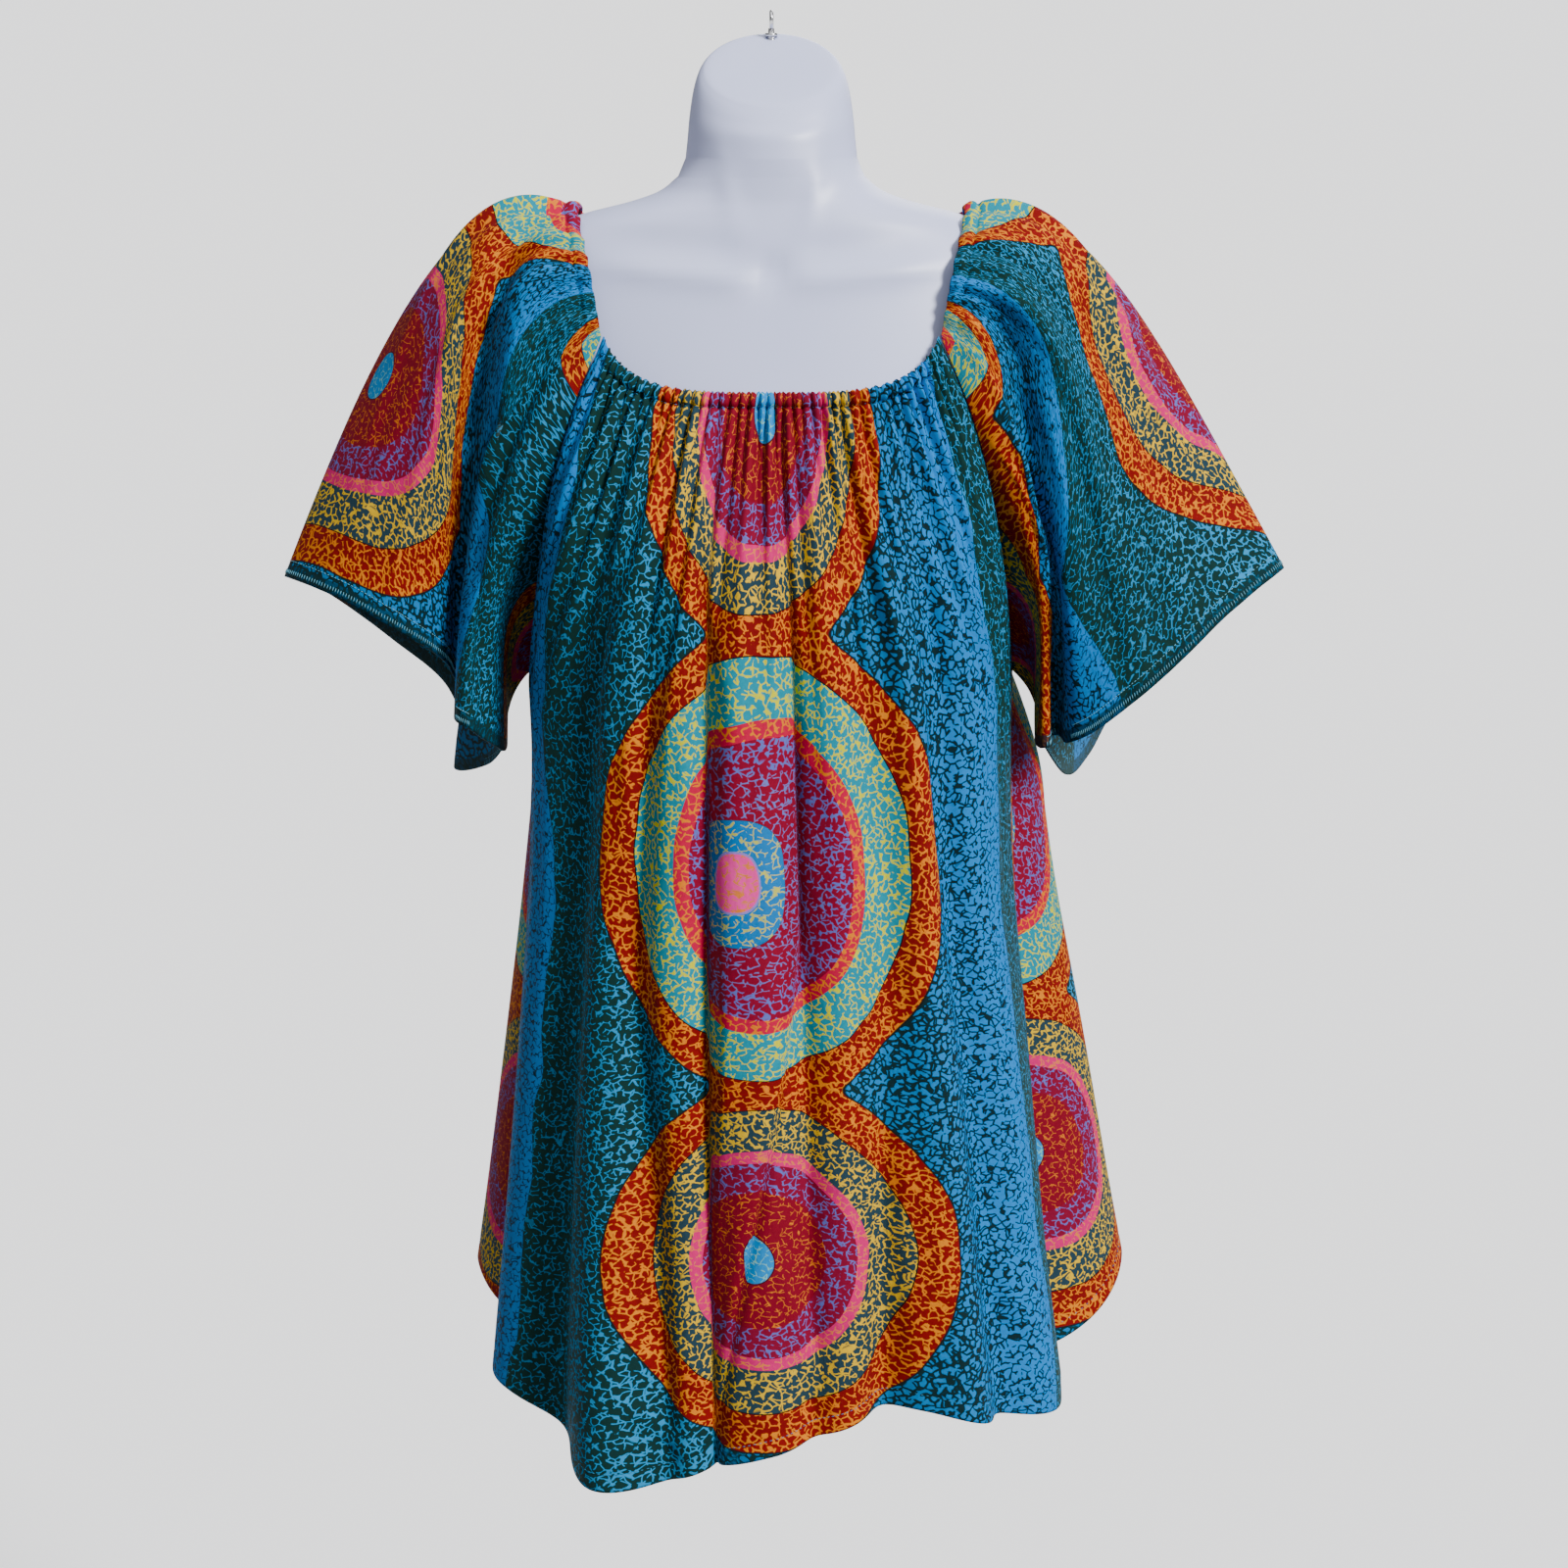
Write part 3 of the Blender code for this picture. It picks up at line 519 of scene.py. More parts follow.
def panel_ring(facing, turn, down):
    """A point of a panel without folds, the way out from it, and its share of the half width."""
    hem_rows = FRONT_HEM_ROWS if facing == FRONT else BACK_HEM_ROWS
    side = LEFT if turn < 0.0 else RIGHT
    angle = abs(turn) * math.pi / 2.0
    share = math.sin(angle) ** (2.0 / BODY_ROUNDNESS)
    bulge = max(0.0, math.cos(angle)) ** (2.0 / BODY_ROUNDNESS)
    height = mixed(neck_height(facing, share), eased(hem_rows, turn)[0], down)
    seam_x, seam_y = seam_point(facing, side, height)
    depth = eased(BODY_DEPTH_ROWS, height)[0 if facing == FRONT else 1] * facing
    point = Vector((seam_x * share, seam_y + (depth - seam_y) * bulge, height))
    outward = Vector((point.x / seam_x**2, point.y / depth**2, 0.0)).normalized()
    return point, outward, share * side


def even_turns(facing, down, columns):
    """The turns that part one ring of a panel into equal lengths of cloth."""
    fine = [2.0 * step / RING_STEPS - 1.0 for step in range(RING_STEPS + 1)]
    points = [panel_ring(facing, turn, down)[0] for turn in fine]
    lengths = [0.0]
    for here, there in zip(points, points[1:]):
        lengths.append(lengths[-1] + (there - here).length)
    turns = []
    step = 0
    for column in range(columns + 1):
        wanted = lengths[-1] * column / columns
        while step < RING_STEPS - 1 and lengths[step + 1] < wanted:
            step += 1
        part = (wanted - lengths[step]) / (lengths[step + 1] - lengths[step])
        turns.append(mixed(fine[step], fine[step + 1], part))
    return turns


ClothPoint = namedtuple("ClothPoint", "place flat from_hem")


def panel_point(panel, turn, across, down):
    """A point of a panel: its place, its place on the flat cloth, and its distance from the hem."""
    ring, outward, share = panel_ring(panel.facing, turn, down)
    drop = neck_height(panel.facing, share) - ring.z
    length = drop / max(down, TINY)
    out, along = fold_push(panel.folds, share, down, BODY_HALF_WIDTH)
    out += crease_push(panel.creases, share, down, BODY_HALF_WIDTH)
    slit, hidden = tuck_push(panel.tucks, share, down)
    gather, lift = gather_push(across, drop, panel.gathers, 1.0 + panel.facing)
    out += slit + gather
    from_hem = length * (1.0 - down)
    out -= HEM_GROOVE * swell(from_hem - HEM_TURN, HEM_GROOVE_WIDTH)
    sideways = Vector((-outward.y, outward.x, 0.0)) * -panel.facing
    ease = 1.0 - abs(across) ** SEAM_EASE_POWER
    place = ring + (outward * out + sideways * along) * ease
    place = kept_off_form(place, REST_GAP + CLOTH_WALL / 2.0) + TORSO_MIDDLE
    place.z += lift
    half_width, centre = eased(panel.flat_rows, down)
    flat_across = (across - centre) * half_width + hidden
    flat_down = eased(FLAT_DOWN_ROWS, NECK_FRONT_HEIGHT - ring.z)[0] + panel.print_down
    return ClothPoint(place, (flat_across, flat_down), from_hem)


def panel_row(panel, down, columns):
    """One row of points across a panel, evenly spaced along the cloth."""
    turns = even_turns(panel.facing, down, columns)
    return [
        panel_point(panel, turn, 2.0 * column / columns - 1.0, down)
        for column, turn in enumerate(turns)
    ]


# %% [markdown]
# A raglan sleeve is a tube whose top edge runs up the front seam, over the shoulder along the
# neck elastic and down the back seam. Its lower edge is a wide loop. Between the two loops each
# strand of cloth is a curve that leaves the armhole one way and arrives at the hem another way.

# %% Sizes of the sleeves
# share from the front corner to the back one, x, y, z of the neck edge over the shoulder
NECK_OVER_SHOULDER_ROWS = (
    (0.00, 0.1100, -0.0760, -0.2120),
    (0.22, 0.1170, -0.0680, -0.1740),
    (0.42, 0.1260, -0.0350, -0.1396),
    (0.54, 0.1290, 0.0000, -0.1306),
    (0.66, 0.1260, 0.0380, -0.1386),
    (0.82, 0.1180, 0.0700, -0.1640),
    (1.00, 0.1100, 0.0840, -0.2000),
)
# share round the sleeve, then the way the cloth leaves the armhole: out, back, up
SLEEVE_START_ROWS = (
    (0.00, 0.016, 0.000, -0.014),
    (0.10, 0.030, -0.014, -0.020),
    (0.20, 0.040, -0.020, -0.020),
    (0.30, 0.058, -0.020, -0.012),
    (0.40, 0.086, -0.016, 0.010),
    (0.50, 0.098, 0.000, 0.026),
    (0.60, 0.088, 0.016, 0.012),
    (0.70, 0.062, 0.020, -0.012),
    (0.80, 0.042, 0.018, -0.022),
    (0.90, 0.030, 0.012, -0.020),
    (1.00, 0.016, 0.000, -0.014),
)
# share round the sleeve, hem x, y, z, then the way up from the hem: in, back, up
LEFT_SLEEVE_HEM_ROWS = (
    (0.00, 0.188, 0.010, -0.501, 0.000, 0.000, 0.020),
    (0.07, 0.186, -0.024, -0.499, 0.004, 0.004, 0.050),
    (0.14, 0.192, -0.055, -0.487, 0.006, 0.006, 0.090),
    (0.20, 0.207, -0.070, -0.473, 0.008, 0.004, 0.120),
    (0.25, 0.215, -0.050, -0.467, 0.016, 0.000, 0.130),
    (0.30, 0.214, -0.030, -0.452, 0.012, -0.006, 0.130),
    (0.35, 0.224, -0.044, -0.432, 0.016, -0.002, 0.130),
    (0.42, 0.254, -0.067, -0.407, 0.038, 0.006, 0.130),
    (0.49, 0.297, -0.054, -0.386, 0.048, 0.012, 0.130),
    (0.56, 0.335, -0.012, -0.379, 0.054, 0.000, 0.130),
    (0.64, 0.313, 0.034, -0.397, 0.052, -0.010, 0.130),
    (0.73, 0.273, 0.062, -0.434, 0.040, -0.012, 0.130),
    (0.81, 0.236, 0.072, -0.468, 0.026, -0.012, 0.130),
    (0.87, 0.222, 0.066, -0.505, 0.014, -0.010, 0.120),
    (0.91, 0.228, 0.050, -0.526, 0.010, -0.008, 0.100),
    (0.955, 0.203, 0.034, -0.520, 0.004, -0.004, 0.060),
)
RIGHT_SLEEVE_HEM_ROWS = (
    (0.00, 0.188, 0.010, -0.496, 0.000, 0.000, 0.020),
    (0.07, 0.184, -0.024, -0.495, 0.004, 0.004, 0.050),
    (0.13, 0.188, -0.048, -0.492, 0.006, 0.006, 0.090),
    (0.19, 0.195, -0.032, -0.487, 0.008, -0.010, 0.120),
    (0.25, 0.204, -0.050, -0.488, 0.012, 0.000, 0.130),
    (0.32, 0.224, -0.067, -0.474, 0.024, 0.006, 0.140),
    (0.41, 0.267, -0.068, -0.438, 0.040, 0.010, 0.140),
    (0.49, 0.311, -0.052, -0.398, 0.060, 0.012, 0.130),
    (0.57, 0.353, -0.010, -0.373, 0.075, 0.000, 0.130),
    (0.65, 0.326, 0.038, -0.404, 0.064, -0.010, 0.130),
    (0.74, 0.289, 0.064, -0.444, 0.046, -0.012, 0.130),
    (0.83, 0.248, 0.070, -0.486, 0.026, -0.012, 0.130),
    (0.89, 0.228, 0.060, -0.518, 0.012, -0.008, 0.100),
    (0.945, 0.210, 0.038, -0.528, 0.004, -0.004, 0.070),
)
# share down where it begins, share round the sleeve at the top, halfway and at the hem,
# half width, height halfway and at the hem, overhang
SLEEVE_BACK_FOLDS = (
    (0.00, 0.560, 0.660, 0.720, 0.036, -0.010, 0.004, 0.0),
    (0.00, 0.640, 0.800, 0.860, 0.030, 0.008, 0.000, 0.0),
)
LEFT_SLEEVE_FOLDS = (
    (0.00, 0.480, 0.375, 0.310, 0.028, -0.017, -0.004, 0.0),
    (0.00, 0.440, 0.285, 0.220, 0.030, 0.010, 0.003, 0.0),
    (0.00, 0.370, 0.235, 0.150, 0.026, -0.003, -0.002, 0.0),
    *SLEEVE_BACK_FOLDS,
)
RIGHT_SLEEVE_FOLDS = (
    (0.00, 0.400, 0.270, 0.200, 0.030, -0.012, -0.003, 0.0),
    (0.00, 0.440, 0.340, 0.270, 0.030, 0.005, 0.003, 0.0),
    (0.00, 0.430, 0.450, 0.500, 0.024, -0.010, 0.000, 0.0),
    (0.00, 0.350, 0.180, 0.130, 0.026, 0.004, 0.002, 0.0),
    *SLEEVE_BACK_FOLDS,
)
# share round the sleeve at the top and at the foot, share down at the top and at the foot,
# half width as a share of the way round, height
SLEEVE_CREASES = (
    (0.33, 0.27, 0.02, 0.70, 0.0080, 0.0024),
    (0.36, 0.31, 0.02, 0.60, 0.0075, -0.0024),
    (0.40, 0.37, 0.03, 0.80, 0.0090, 0.0022),
    (0.45, 0.42, 0.02, 0.52, 0.0080, -0.0020),
    (0.55, 0.58, 0.02, 0.60, 0.0085, 0.0022),
    (0.61, 0.68, 0.02, 0.66, 0.0080, -0.0024),
    (0.66, 0.74, 0.03, 0.78, 0.0085, 0.0024),
    (0.22, 0.16, 0.04, 0.80, 0.0080, 0.0018),
    (0.79, 0.85, 0.04, 0.80, 0.0080, 0.0018),
    (0.46, 0.50, 0.55, 1.02, 0.0100, 0.0020),
)
SLOPE_STEP = 0.001
STRAND_STEPS = 24
RAGLAN_GAP = 0.0019
WELD_DISTANCE = 0.00001
NECK_SHARE_START = 0.30
NECK_SHARE_END = 0.70
SLEEVE_GATHERS = 14
RAGLAN_FLAT_LENGTH = 0.27
SLEEVE_GRAIN_LEAN = 0.35
SLEEVE_LEAN_TOP = -0.065
SLEEVE_PRINT_DOWN = 0.583
NECK_GATHER_REACH = 0.19
# share round the sleeve, flat distance from the medallion column at the neck edge and lower down
SLEEVE_FLAT_ROWS = (
    (0.00, -0.480, -0.450),
    (0.05, -0.475, -0.385),
    (0.09, -0.470, -0.325),
    (0.13, -0.465, -0.285),
    (0.18, -0.460, -0.250),
    (0.26, -0.445, -0.190),
    (0.30, -0.410, -0.172),
    (0.34, -0.325, -0.145),
    (0.40, -0.180, -0.100),
    (0.46, -0.050, -0.049),
    (0.517, 0.000, 0.000),
    (0.60, 0.075, 0.071),
    (0.70, 0.260, 0.157),
    (1.00, 0.415, 0.415),
)
SLEEVE_COLUMNS = 224

Sleeve = namedtuple("Sleeve", "name node side puff hem_rows folds medallion_across medallion_down")
SLEEVES = (
    Sleeve("left_sleeve_cloth", "sleeve_left", LEFT, 0.019,
           LEFT_SLEEVE_HEM_ROWS, LEFT_SLEEVE_FOLDS, 0.0, 0.198),
    Sleeve("right_sleeve_cloth", "sleeve_right", RIGHT, 0.0,
           RIGHT_SLEEVE_HEM_ROWS, RIGHT_SLEEVE_FOLDS, 0.062, 0.195),
)


# %% Points of the sleeves
def over_shoulder(around):
    """The share of the way over the shoulder, from the front corner of the neck to the back one."""
    return (around - NECK_SHARE_START) / (NECK_SHARE_END - NECK_SHARE_START)


def seam_share(around):
    """How far up its seam a strand starts: 0 at the underarm, 1 at the neck and shoulder."""
    return min(1.0, around / NECK_SHARE_START, (1.0 - around) / (1.0 - NECK_SHARE_END))


def armhole_point(side, around):
    """A point of a sleeve's first loop: up the front seam, over the shoulder, down the back one."""
    if NECK_SHARE_START <= around <= NECK_SHARE_END:
        x, y, z = eased(NECK_OVER_SHOULDER_ROWS, over_shoulder(around))
        return Vector((side * x, y, z))
    facing = FRONT if around < NECK_SHARE_START else BACK
    corner = NECK_FRONT_CORNER_HEIGHT if facing == FRONT else NECK_BACK_CORNER_HEIGHT
    height = mixed(UNDERARM_HEIGHT, corner, seam_share(around))
    x, y = seam_point(facing, side, height)
    return Vector((x, y, height))


def sleeve_strand(sleeve, around):
    """The four points that steer one strand of a sleeve's cloth, from the armhole to the hem."""
    around = around % 1.0
    out, back, up = eased(SLEEVE_START_ROWS, around)
    if NECK_SHARE_START < around < NECK_SHARE_END:
        up += sleeve.puff * math.sin(over_shoulder(around) * math.pi)
    leave = Vector((sleeve.side * out, back, up))
    before = armhole_point(sleeve.side, max(0.0, around - SLOPE_STEP))
    along = (armhole_point(sleeve.side, min(1.0, around + SLOPE_STEP)) - before).normalized()
    clear = (leave - along * leave.dot(along)).normalized()
    start = armhole_point(sleeve.side, around) + clear * RAGLAN_GAP
    x, y, z, hem_in, hem_back, hem_up = eased_round(sleeve.hem_rows, around)
    end = Vector((sleeve.side * x, y, z))
    arrive = Vector((-sleeve.side * hem_in, hem_back, hem_up))
    return start, start + leave, end + arrive, end


def on_strand(strand, down):
    """A point of a strand, at a share of the way down."""
    start, leaving, arriving, end = strand
    rest = 1.0 - down
    point = start * rest**3 + leaving * 3.0 * rest**2 * down
    return point + arriving * 3.0 * rest * down**2 + end * down**3


def strand_lengths(strand):
    """The length of a strand from its start to each of its even steps."""
    lengths = [0.0]
    before = on_strand(strand, 0.0)
    for step in range(1, STRAND_STEPS + 1):
        place = on_strand(strand, step / STRAND_STEPS)
        lengths.append(lengths[-1] + (place - before).length)
        before = place
    return lengths


def length_down(lengths, down):
    """The length of a strand from its start to a share of the way down."""
    step = min(STRAND_STEPS - 1, int(down * STRAND_STEPS))
    return mixed(lengths[step], lengths[step + 1], down * STRAND_STEPS - step)


def sleeve_push(sleeve, around, down, drop):
    """How far folds, creases, gathers and the casing push a sleeve's cloth out."""
    out = fold_push(sleeve.folds, around, down, 1.0)[0]
    out += crease_push(SLEEVE_CREASES, around, down, 1.0)
    if NECK_SHARE_START < around < NECK_SHARE_END:
        over = over_shoulder(around)
        ease = math.sin(over * math.pi) ** 0.5
        out += ease * gather_push(over * 2.0 - 1.0, drop, SLEEVE_GATHERS, 4.0 + sleeve.side)[0]
    return out


def sleeve_flat(sleeve, around, drop):
    """The place on the flat cloth; both sleeves have the print the same way up and round."""
    below_neck = (1.0 - seam_share(around)) * RAGLAN_FLAT_LENGTH + drop
    below_medallion = below_neck - sleeve.medallion_down
    at_neck, lower = eased(SLEEVE_FLAT_ROWS, around)
    across = mixed(at_neck, lower, min(1.0, below_neck / NECK_GATHER_REACH))
    across -= sleeve.medallion_across
    across -= SLEEVE_GRAIN_LEAN * max(below_medallion, SLEEVE_LEAN_TOP)
    return sleeve.side * across, below_medallion + SLEEVE_PRINT_DOWN


def sleeve_row(sleeve, down, columns):
    """One row of points round a sleeve, the first of them again at its end."""
    row = []
    for column in range(columns + 1):
        around = column / columns
        strand = sleeve_strand(sleeve, around)
        ahead = on_strand(sleeve_strand(sleeve, around + SLOPE_STEP), down)
        behind = on_strand(sleeve_strand(sleeve, around - SLOPE_STEP), down)
        slope = on_strand(strand, down + SLOPE_STEP) - on_strand(strand, down - SLOPE_STEP)
        outward = (ahead - behind).cross(slope).normalized() * -sleeve.side
        lengths = strand_lengths(strand)
        drop = length_down(lengths, down)
        place = on_strand(strand, down) + outward * sleeve_push(sleeve, around, down, drop)
        flat = sleeve_flat(sleeve, around, drop)
        row.append(ClothPoint(place + TORSO_MIDDLE, flat, lengths[-1] - drop))
    return row


# %% [markdown]
# A grid operator makes the flat net, and the rows of points above move it into place. The flat
# place of each point goes into a UV map in metres, and the distance from the hem into an
# attribute. Solidify then gives the cloth its thickness, with the reverse of the print inside.

# %% Nets of cloth
FLAT_MAP = "flat_cloth"
HEM_ATTRIBUTE = "from_hem"
FEWEST_ROWS = 4
# share down where a band of rows ends, rows in it
PANEL_ROW_BANDS = ((0.022, 16), (0.130, 40), (0.960, 104), (1.000, 14))
SLEEVE_ROW_BANDS = ((0.045, 12), (0.250, 28), (0.900, 50), (1.000, 14))


def row_shares(bands):
    """The shares down of all the rows, which lie closer where the detail is finer."""
    shares = [0.0]
    for end, count in bands:
        start = shares[-1]
        fewer = max(FEWEST_ROWS, round(count * DETAIL))
        shares += [mixed(start, end, (row + 1) / fewer) for row in range(fewer)]
    return shares


def finished(mesh, name):
    """The object that holds a finished mesh, linked to the scene."""
    data = bpy.data.meshes.new(name)
    mesh.to_mesh(data)
    mesh.free()
    piece = bpy.data.objects.new(name, data)
    bpy.context.scene.collection.objects.link(piece)
    return piece


def make_cloth(name, rows, closed, outside):
    """A cloth piece from rows of points; outside is a direction that its middle should face."""
    columns = len(rows[0]) - 1
    steps = len(rows) - 1
    mesh = bmesh.new()
    flat_map = mesh.loops.layers.uv.new(FLAT_MAP)
    hem_layer = mesh.verts.layers.float.new(HEM_ATTRIBUTE)
    bmesh.ops.create_grid(mesh, x_segments=columns, y_segments=steps, size=0.5)
    points = {}
    for vertex in mesh.verts:
        column = round((vertex.co.x + 0.5) * columns)
        step = round((vertex.co.y + 0.5) * steps)
        points[vertex] = rows[step][column]
    for vertex, point in points.items():
        vertex.co = point.place
        vertex[hem_layer] = point.from_hem
    for face in mesh.faces:
        face.smooth = True
        for loop in face.loops:
            loop[flat_map].uv = points[loop.vert].flat
    if closed:
        bmesh.ops.remove_doubles(mesh, verts=mesh.verts, dist=WELD_DISTANCE)
    mesh.normal_update()
    facing = sum((face.normal.dot(outside(face.calc_center_median())) for face in mesh.faces), 0.0)
    if facing < 0.0:
        bmesh.ops.reverse_faces(mesh, faces=mesh.faces)
    piece = finished(mesh, name)
    wall = piece.modifiers.new("cloth wall", "SOLIDIFY")
    wall.thickness = CLOTH_WALL
    wall.offset = 0.0
    wall.material_offset = 1
    return piece


def cloth_area(rows):
    """The area of a net of cloth in square metres."""
    area = 0.0
    for upper, lower in zip(rows, rows[1:]):
        for column in range(len(upper) - 1):
            here, right = upper[column].place, upper[column + 1].place
            below, across = lower[column].place, lower[column + 1].place
            area += (right - here).cross(below - here).length / 2.0
            area += (right - across).cross(below - across).length / 2.0
    return area


def from_torso(place):
    """The level way out from the torso's middle."""
    return Vector((place.x, place.y - TORSO_MIDDLE.y, 0.0))


def make_panel(panel):
    """The front or back of the dress."""
    columns = round(panel.columns * DETAIL)
    rows = [panel_row(panel, down, columns) for down in row_shares(PANEL_ROW_BANDS)]
    print(panel.name, "area", round(cloth_area(rows), 4), "square metres")
    piece = make_cloth(panel.name, rows, False, from_torso)
    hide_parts(panel.node)
    return piece


def make_sleeve(sleeve):
    """A wide flared sleeve."""
    columns = round(SLEEVE_COLUMNS * DETAIL)
    rows = [sleeve_row(sleeve, down, columns) for down in row_shares(SLEEVE_ROW_BANDS)]
    print(sleeve.name, "area", round(cloth_area(rows), 4), "square metres")
    middles = [sum((point.place for point in row), Vector()) / len(row) for row in rows]

    def from_middle(place):
        return place - min(middles, key=lambda middle: abs(middle.z - place.z))

    piece = make_cloth(sleeve.name, rows, True, from_middle)
    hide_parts(sleeve.node)
    return piece


front_cloth = make_panel(FRONT_PANEL)
back_cloth = make_panel(BACK_PANEL)
sleeve_cloths = [make_sleeve(sleeve) for sleeve in SLEEVES]

# %% [markdown]
# The form is one smooth moulded shell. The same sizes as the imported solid's are used with many
# more points, and the soft collarbones and neck cords of a shop form are raised very slightly.

# %% The smooth form
FORM_COLUMNS = 160
FORM_STEPS_PER_ROW = 5
FORM_FRONT_EASE = 0.03
BONE_Z, BONE_RISE, BONE_START = -0.176, 0.10, 0.014
BONE_INNER, BONE_INNER_FADE, BONE_OUTER, BONE_OUTER_FADE = 0.008, 0.02, 0.135, 0.05
BONE_HEIGHT, BONE_WIDTH = 0.0030, 0.0075
DIP_DEPTH, DIP_WIDTH, DIP_ABOVE_BONE = 0.0016, 0.010, 0.019
NOTCH_DEPTH, NOTCH_WIDTH, NOTCH_TALL, NOTCH_Z = 0.0040, 0.010, 0.012, -0.170
CORD_HEIGHT, CORD_WIDTH, CORD_TALL, CORD_Z = 0.0012, 0.007, 0.034, -0.120
CORD_X, CORD_SPREAD, CORD_SPREAD_FROM = 0.020, 0.20, -0.160


def form_relief(x, z):
    """How far the collarbones, the notch between them and the neck cords stand out on the front."""
    away = abs(x)
    bone_z = BONE_Z + BONE_RISE * max(0.0, away - BONE_START)
    reach = min(1.0, max(0.0, (away - BONE_INNER) / BONE_INNER_FADE))
    reach *= min(1.0, max(0.0, (BONE_OUTER - away) / BONE_OUTER_FADE))
    out = BONE_HEIGHT * reach * swell(z - bone_z, BONE_WIDTH)
    out -= DIP_DEPTH * reach * swell(z - bone_z - DIP_ABOVE_BONE, DIP_WIDTH)
    out -= NOTCH_DEPTH * swell(x, NOTCH_WIDTH) * swell(z - NOTCH_Z, NOTCH_TALL)
    cord_x = CORD_X + CORD_SPREAD * max(0.0, z - CORD_SPREAD_FROM)
    return out + CORD_HEIGHT * swell(away - cord_x, CORD_WIDTH) * swell(z - CORD_Z, CORD_TALL)


def form_ring(row_place):
    """A ring of the form, by the share round it; row_place counts through both tables."""
    torso_rows = len(FORM_ROWS)
    if row_place <= torso_rows - 1:
        lower = min(int(row_place), torso_rows - 2)
        height = mixed(FORM_ROWS[lower][0], FORM_ROWS[lower + 1][0], row_place - lower)
        half_width, front, back = eased(FORM_ROWS, height)

        def torso_point(around):
            angle = 2.0 * math.pi * around
            depth = back if math.cos(angle) > 0.0 else front
            x, y = superellipse(angle, half_width, depth, FORM_ROUNDNESS)
            return Vector((-x, y, height))

        return torso_point
    numbered = [(index, *row) for index, row in enumerate(NECK_ROWS)]
    height, half_width, half_depth, centre_y, tilt = eased(numbered, row_place - torso_rows)

    def neck_point(around):
        angle = 2.0 * math.pi * around
        along = half_depth * math.cos(angle)
        lean = math.radians(tilt)
        x = -half_width * math.sin(angle)
        return Vector((x, centre_y + along * math.cos(lean), height + along * math.sin(lean)))

    return neck_point


def form_row_places():
    """The places of the rings in the two tables, with one blend from the torso to the neck."""
    torso_rows = len(FORM_ROWS)
    last = torso_rows + len(NECK_ROWS) - 1
    places = []
    for row in range(last):
        if row == torso_rows - 1:
            places.append(float(row))
        else:
            places += [row + step / FORM_STEPS_PER_ROW for step in range(FORM_STEPS_PER_ROW)]
    return places + [float(last)]


def make_form():
    """The smooth torso with its neck and tilted cap."""
    rings = [form_ring(place) for place in form_row_places()]
    mesh = bmesh.new()
    bmesh.ops.create_grid(mesh, x_segments=FORM_COLUMNS, y_segments=len(rings) - 1, size=0.5)
    for vertex in mesh.verts:
        column = round((vertex.co.x + 0.5) * FORM_COLUMNS) % FORM_COLUMNS
        step = round((vertex.co.y + 0.5) * (len(rings) - 1))
        place = rings[step](column / FORM_COLUMNS)
        if place.y < 0.0:
            facing = min(1.0, -place.y / FORM_FRONT_EASE)
            place.y -= form_relief(place.x, place.z) * facing
        vertex.co = place + TORSO_MIDDLE
    bmesh.ops.remove_doubles(mesh, verts=mesh.verts, dist=WELD_DISTANCE)
    bmesh.ops.holes_fill(mesh, edges=mesh.edges, sides=FORM_COLUMNS)
    bmesh.ops.recalc_face_normals(mesh, faces=mesh.faces)
    for face in mesh.faces:
        face.smooth = len(face.verts) <= 4
    piece = finished(mesh, "form_shell")
    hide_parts("dress_form")
    print("form_shell", len(piece.data.polygons), "faces")
    return piece


form_shell = make_form()

# %% [markdown]
# The eye is a ring of bright wire on a short threaded shank with a small collar. A circle that
# is spun round a line makes the ring, and cones make the shank, its collar and its threads.

# %% The metal eye
EYE_RING_RADIUS = 0.0056
EYE_WIRE_RADIUS = 0.0014
EYE_RING_STEPS = 64
EYE_WIRE_SIDES = 20
ROD_SIDES = 32
SHANK_TOP = -0.0096
SHANK_FOOT = -0.0250
SHANK_RADIUS = 0.0027
SHANK_TAPER = 0.8
THREAD_RADIUS = 0.0032
THREAD_PITCH = 0.0012
COLLAR_TOP = -0.0128
COLLAR_FOOT = -0.0150
COLLAR_RADIUS = 0.0042


def add_rod(mesh, low_radius, high_radius, foot, top):
    """An upright cone or cylinder on the eye's axis."""
    bmesh.ops.create_cone(
        mesh,
        cap_ends=True,
        segments=ROD_SIDES,
        radius1=low_radius,
        radius2=high_radius,
        depth=top - foot,
        matrix=Matrix.Translation((0.0, 0.0, (top + foot) / 2.0)),
    )


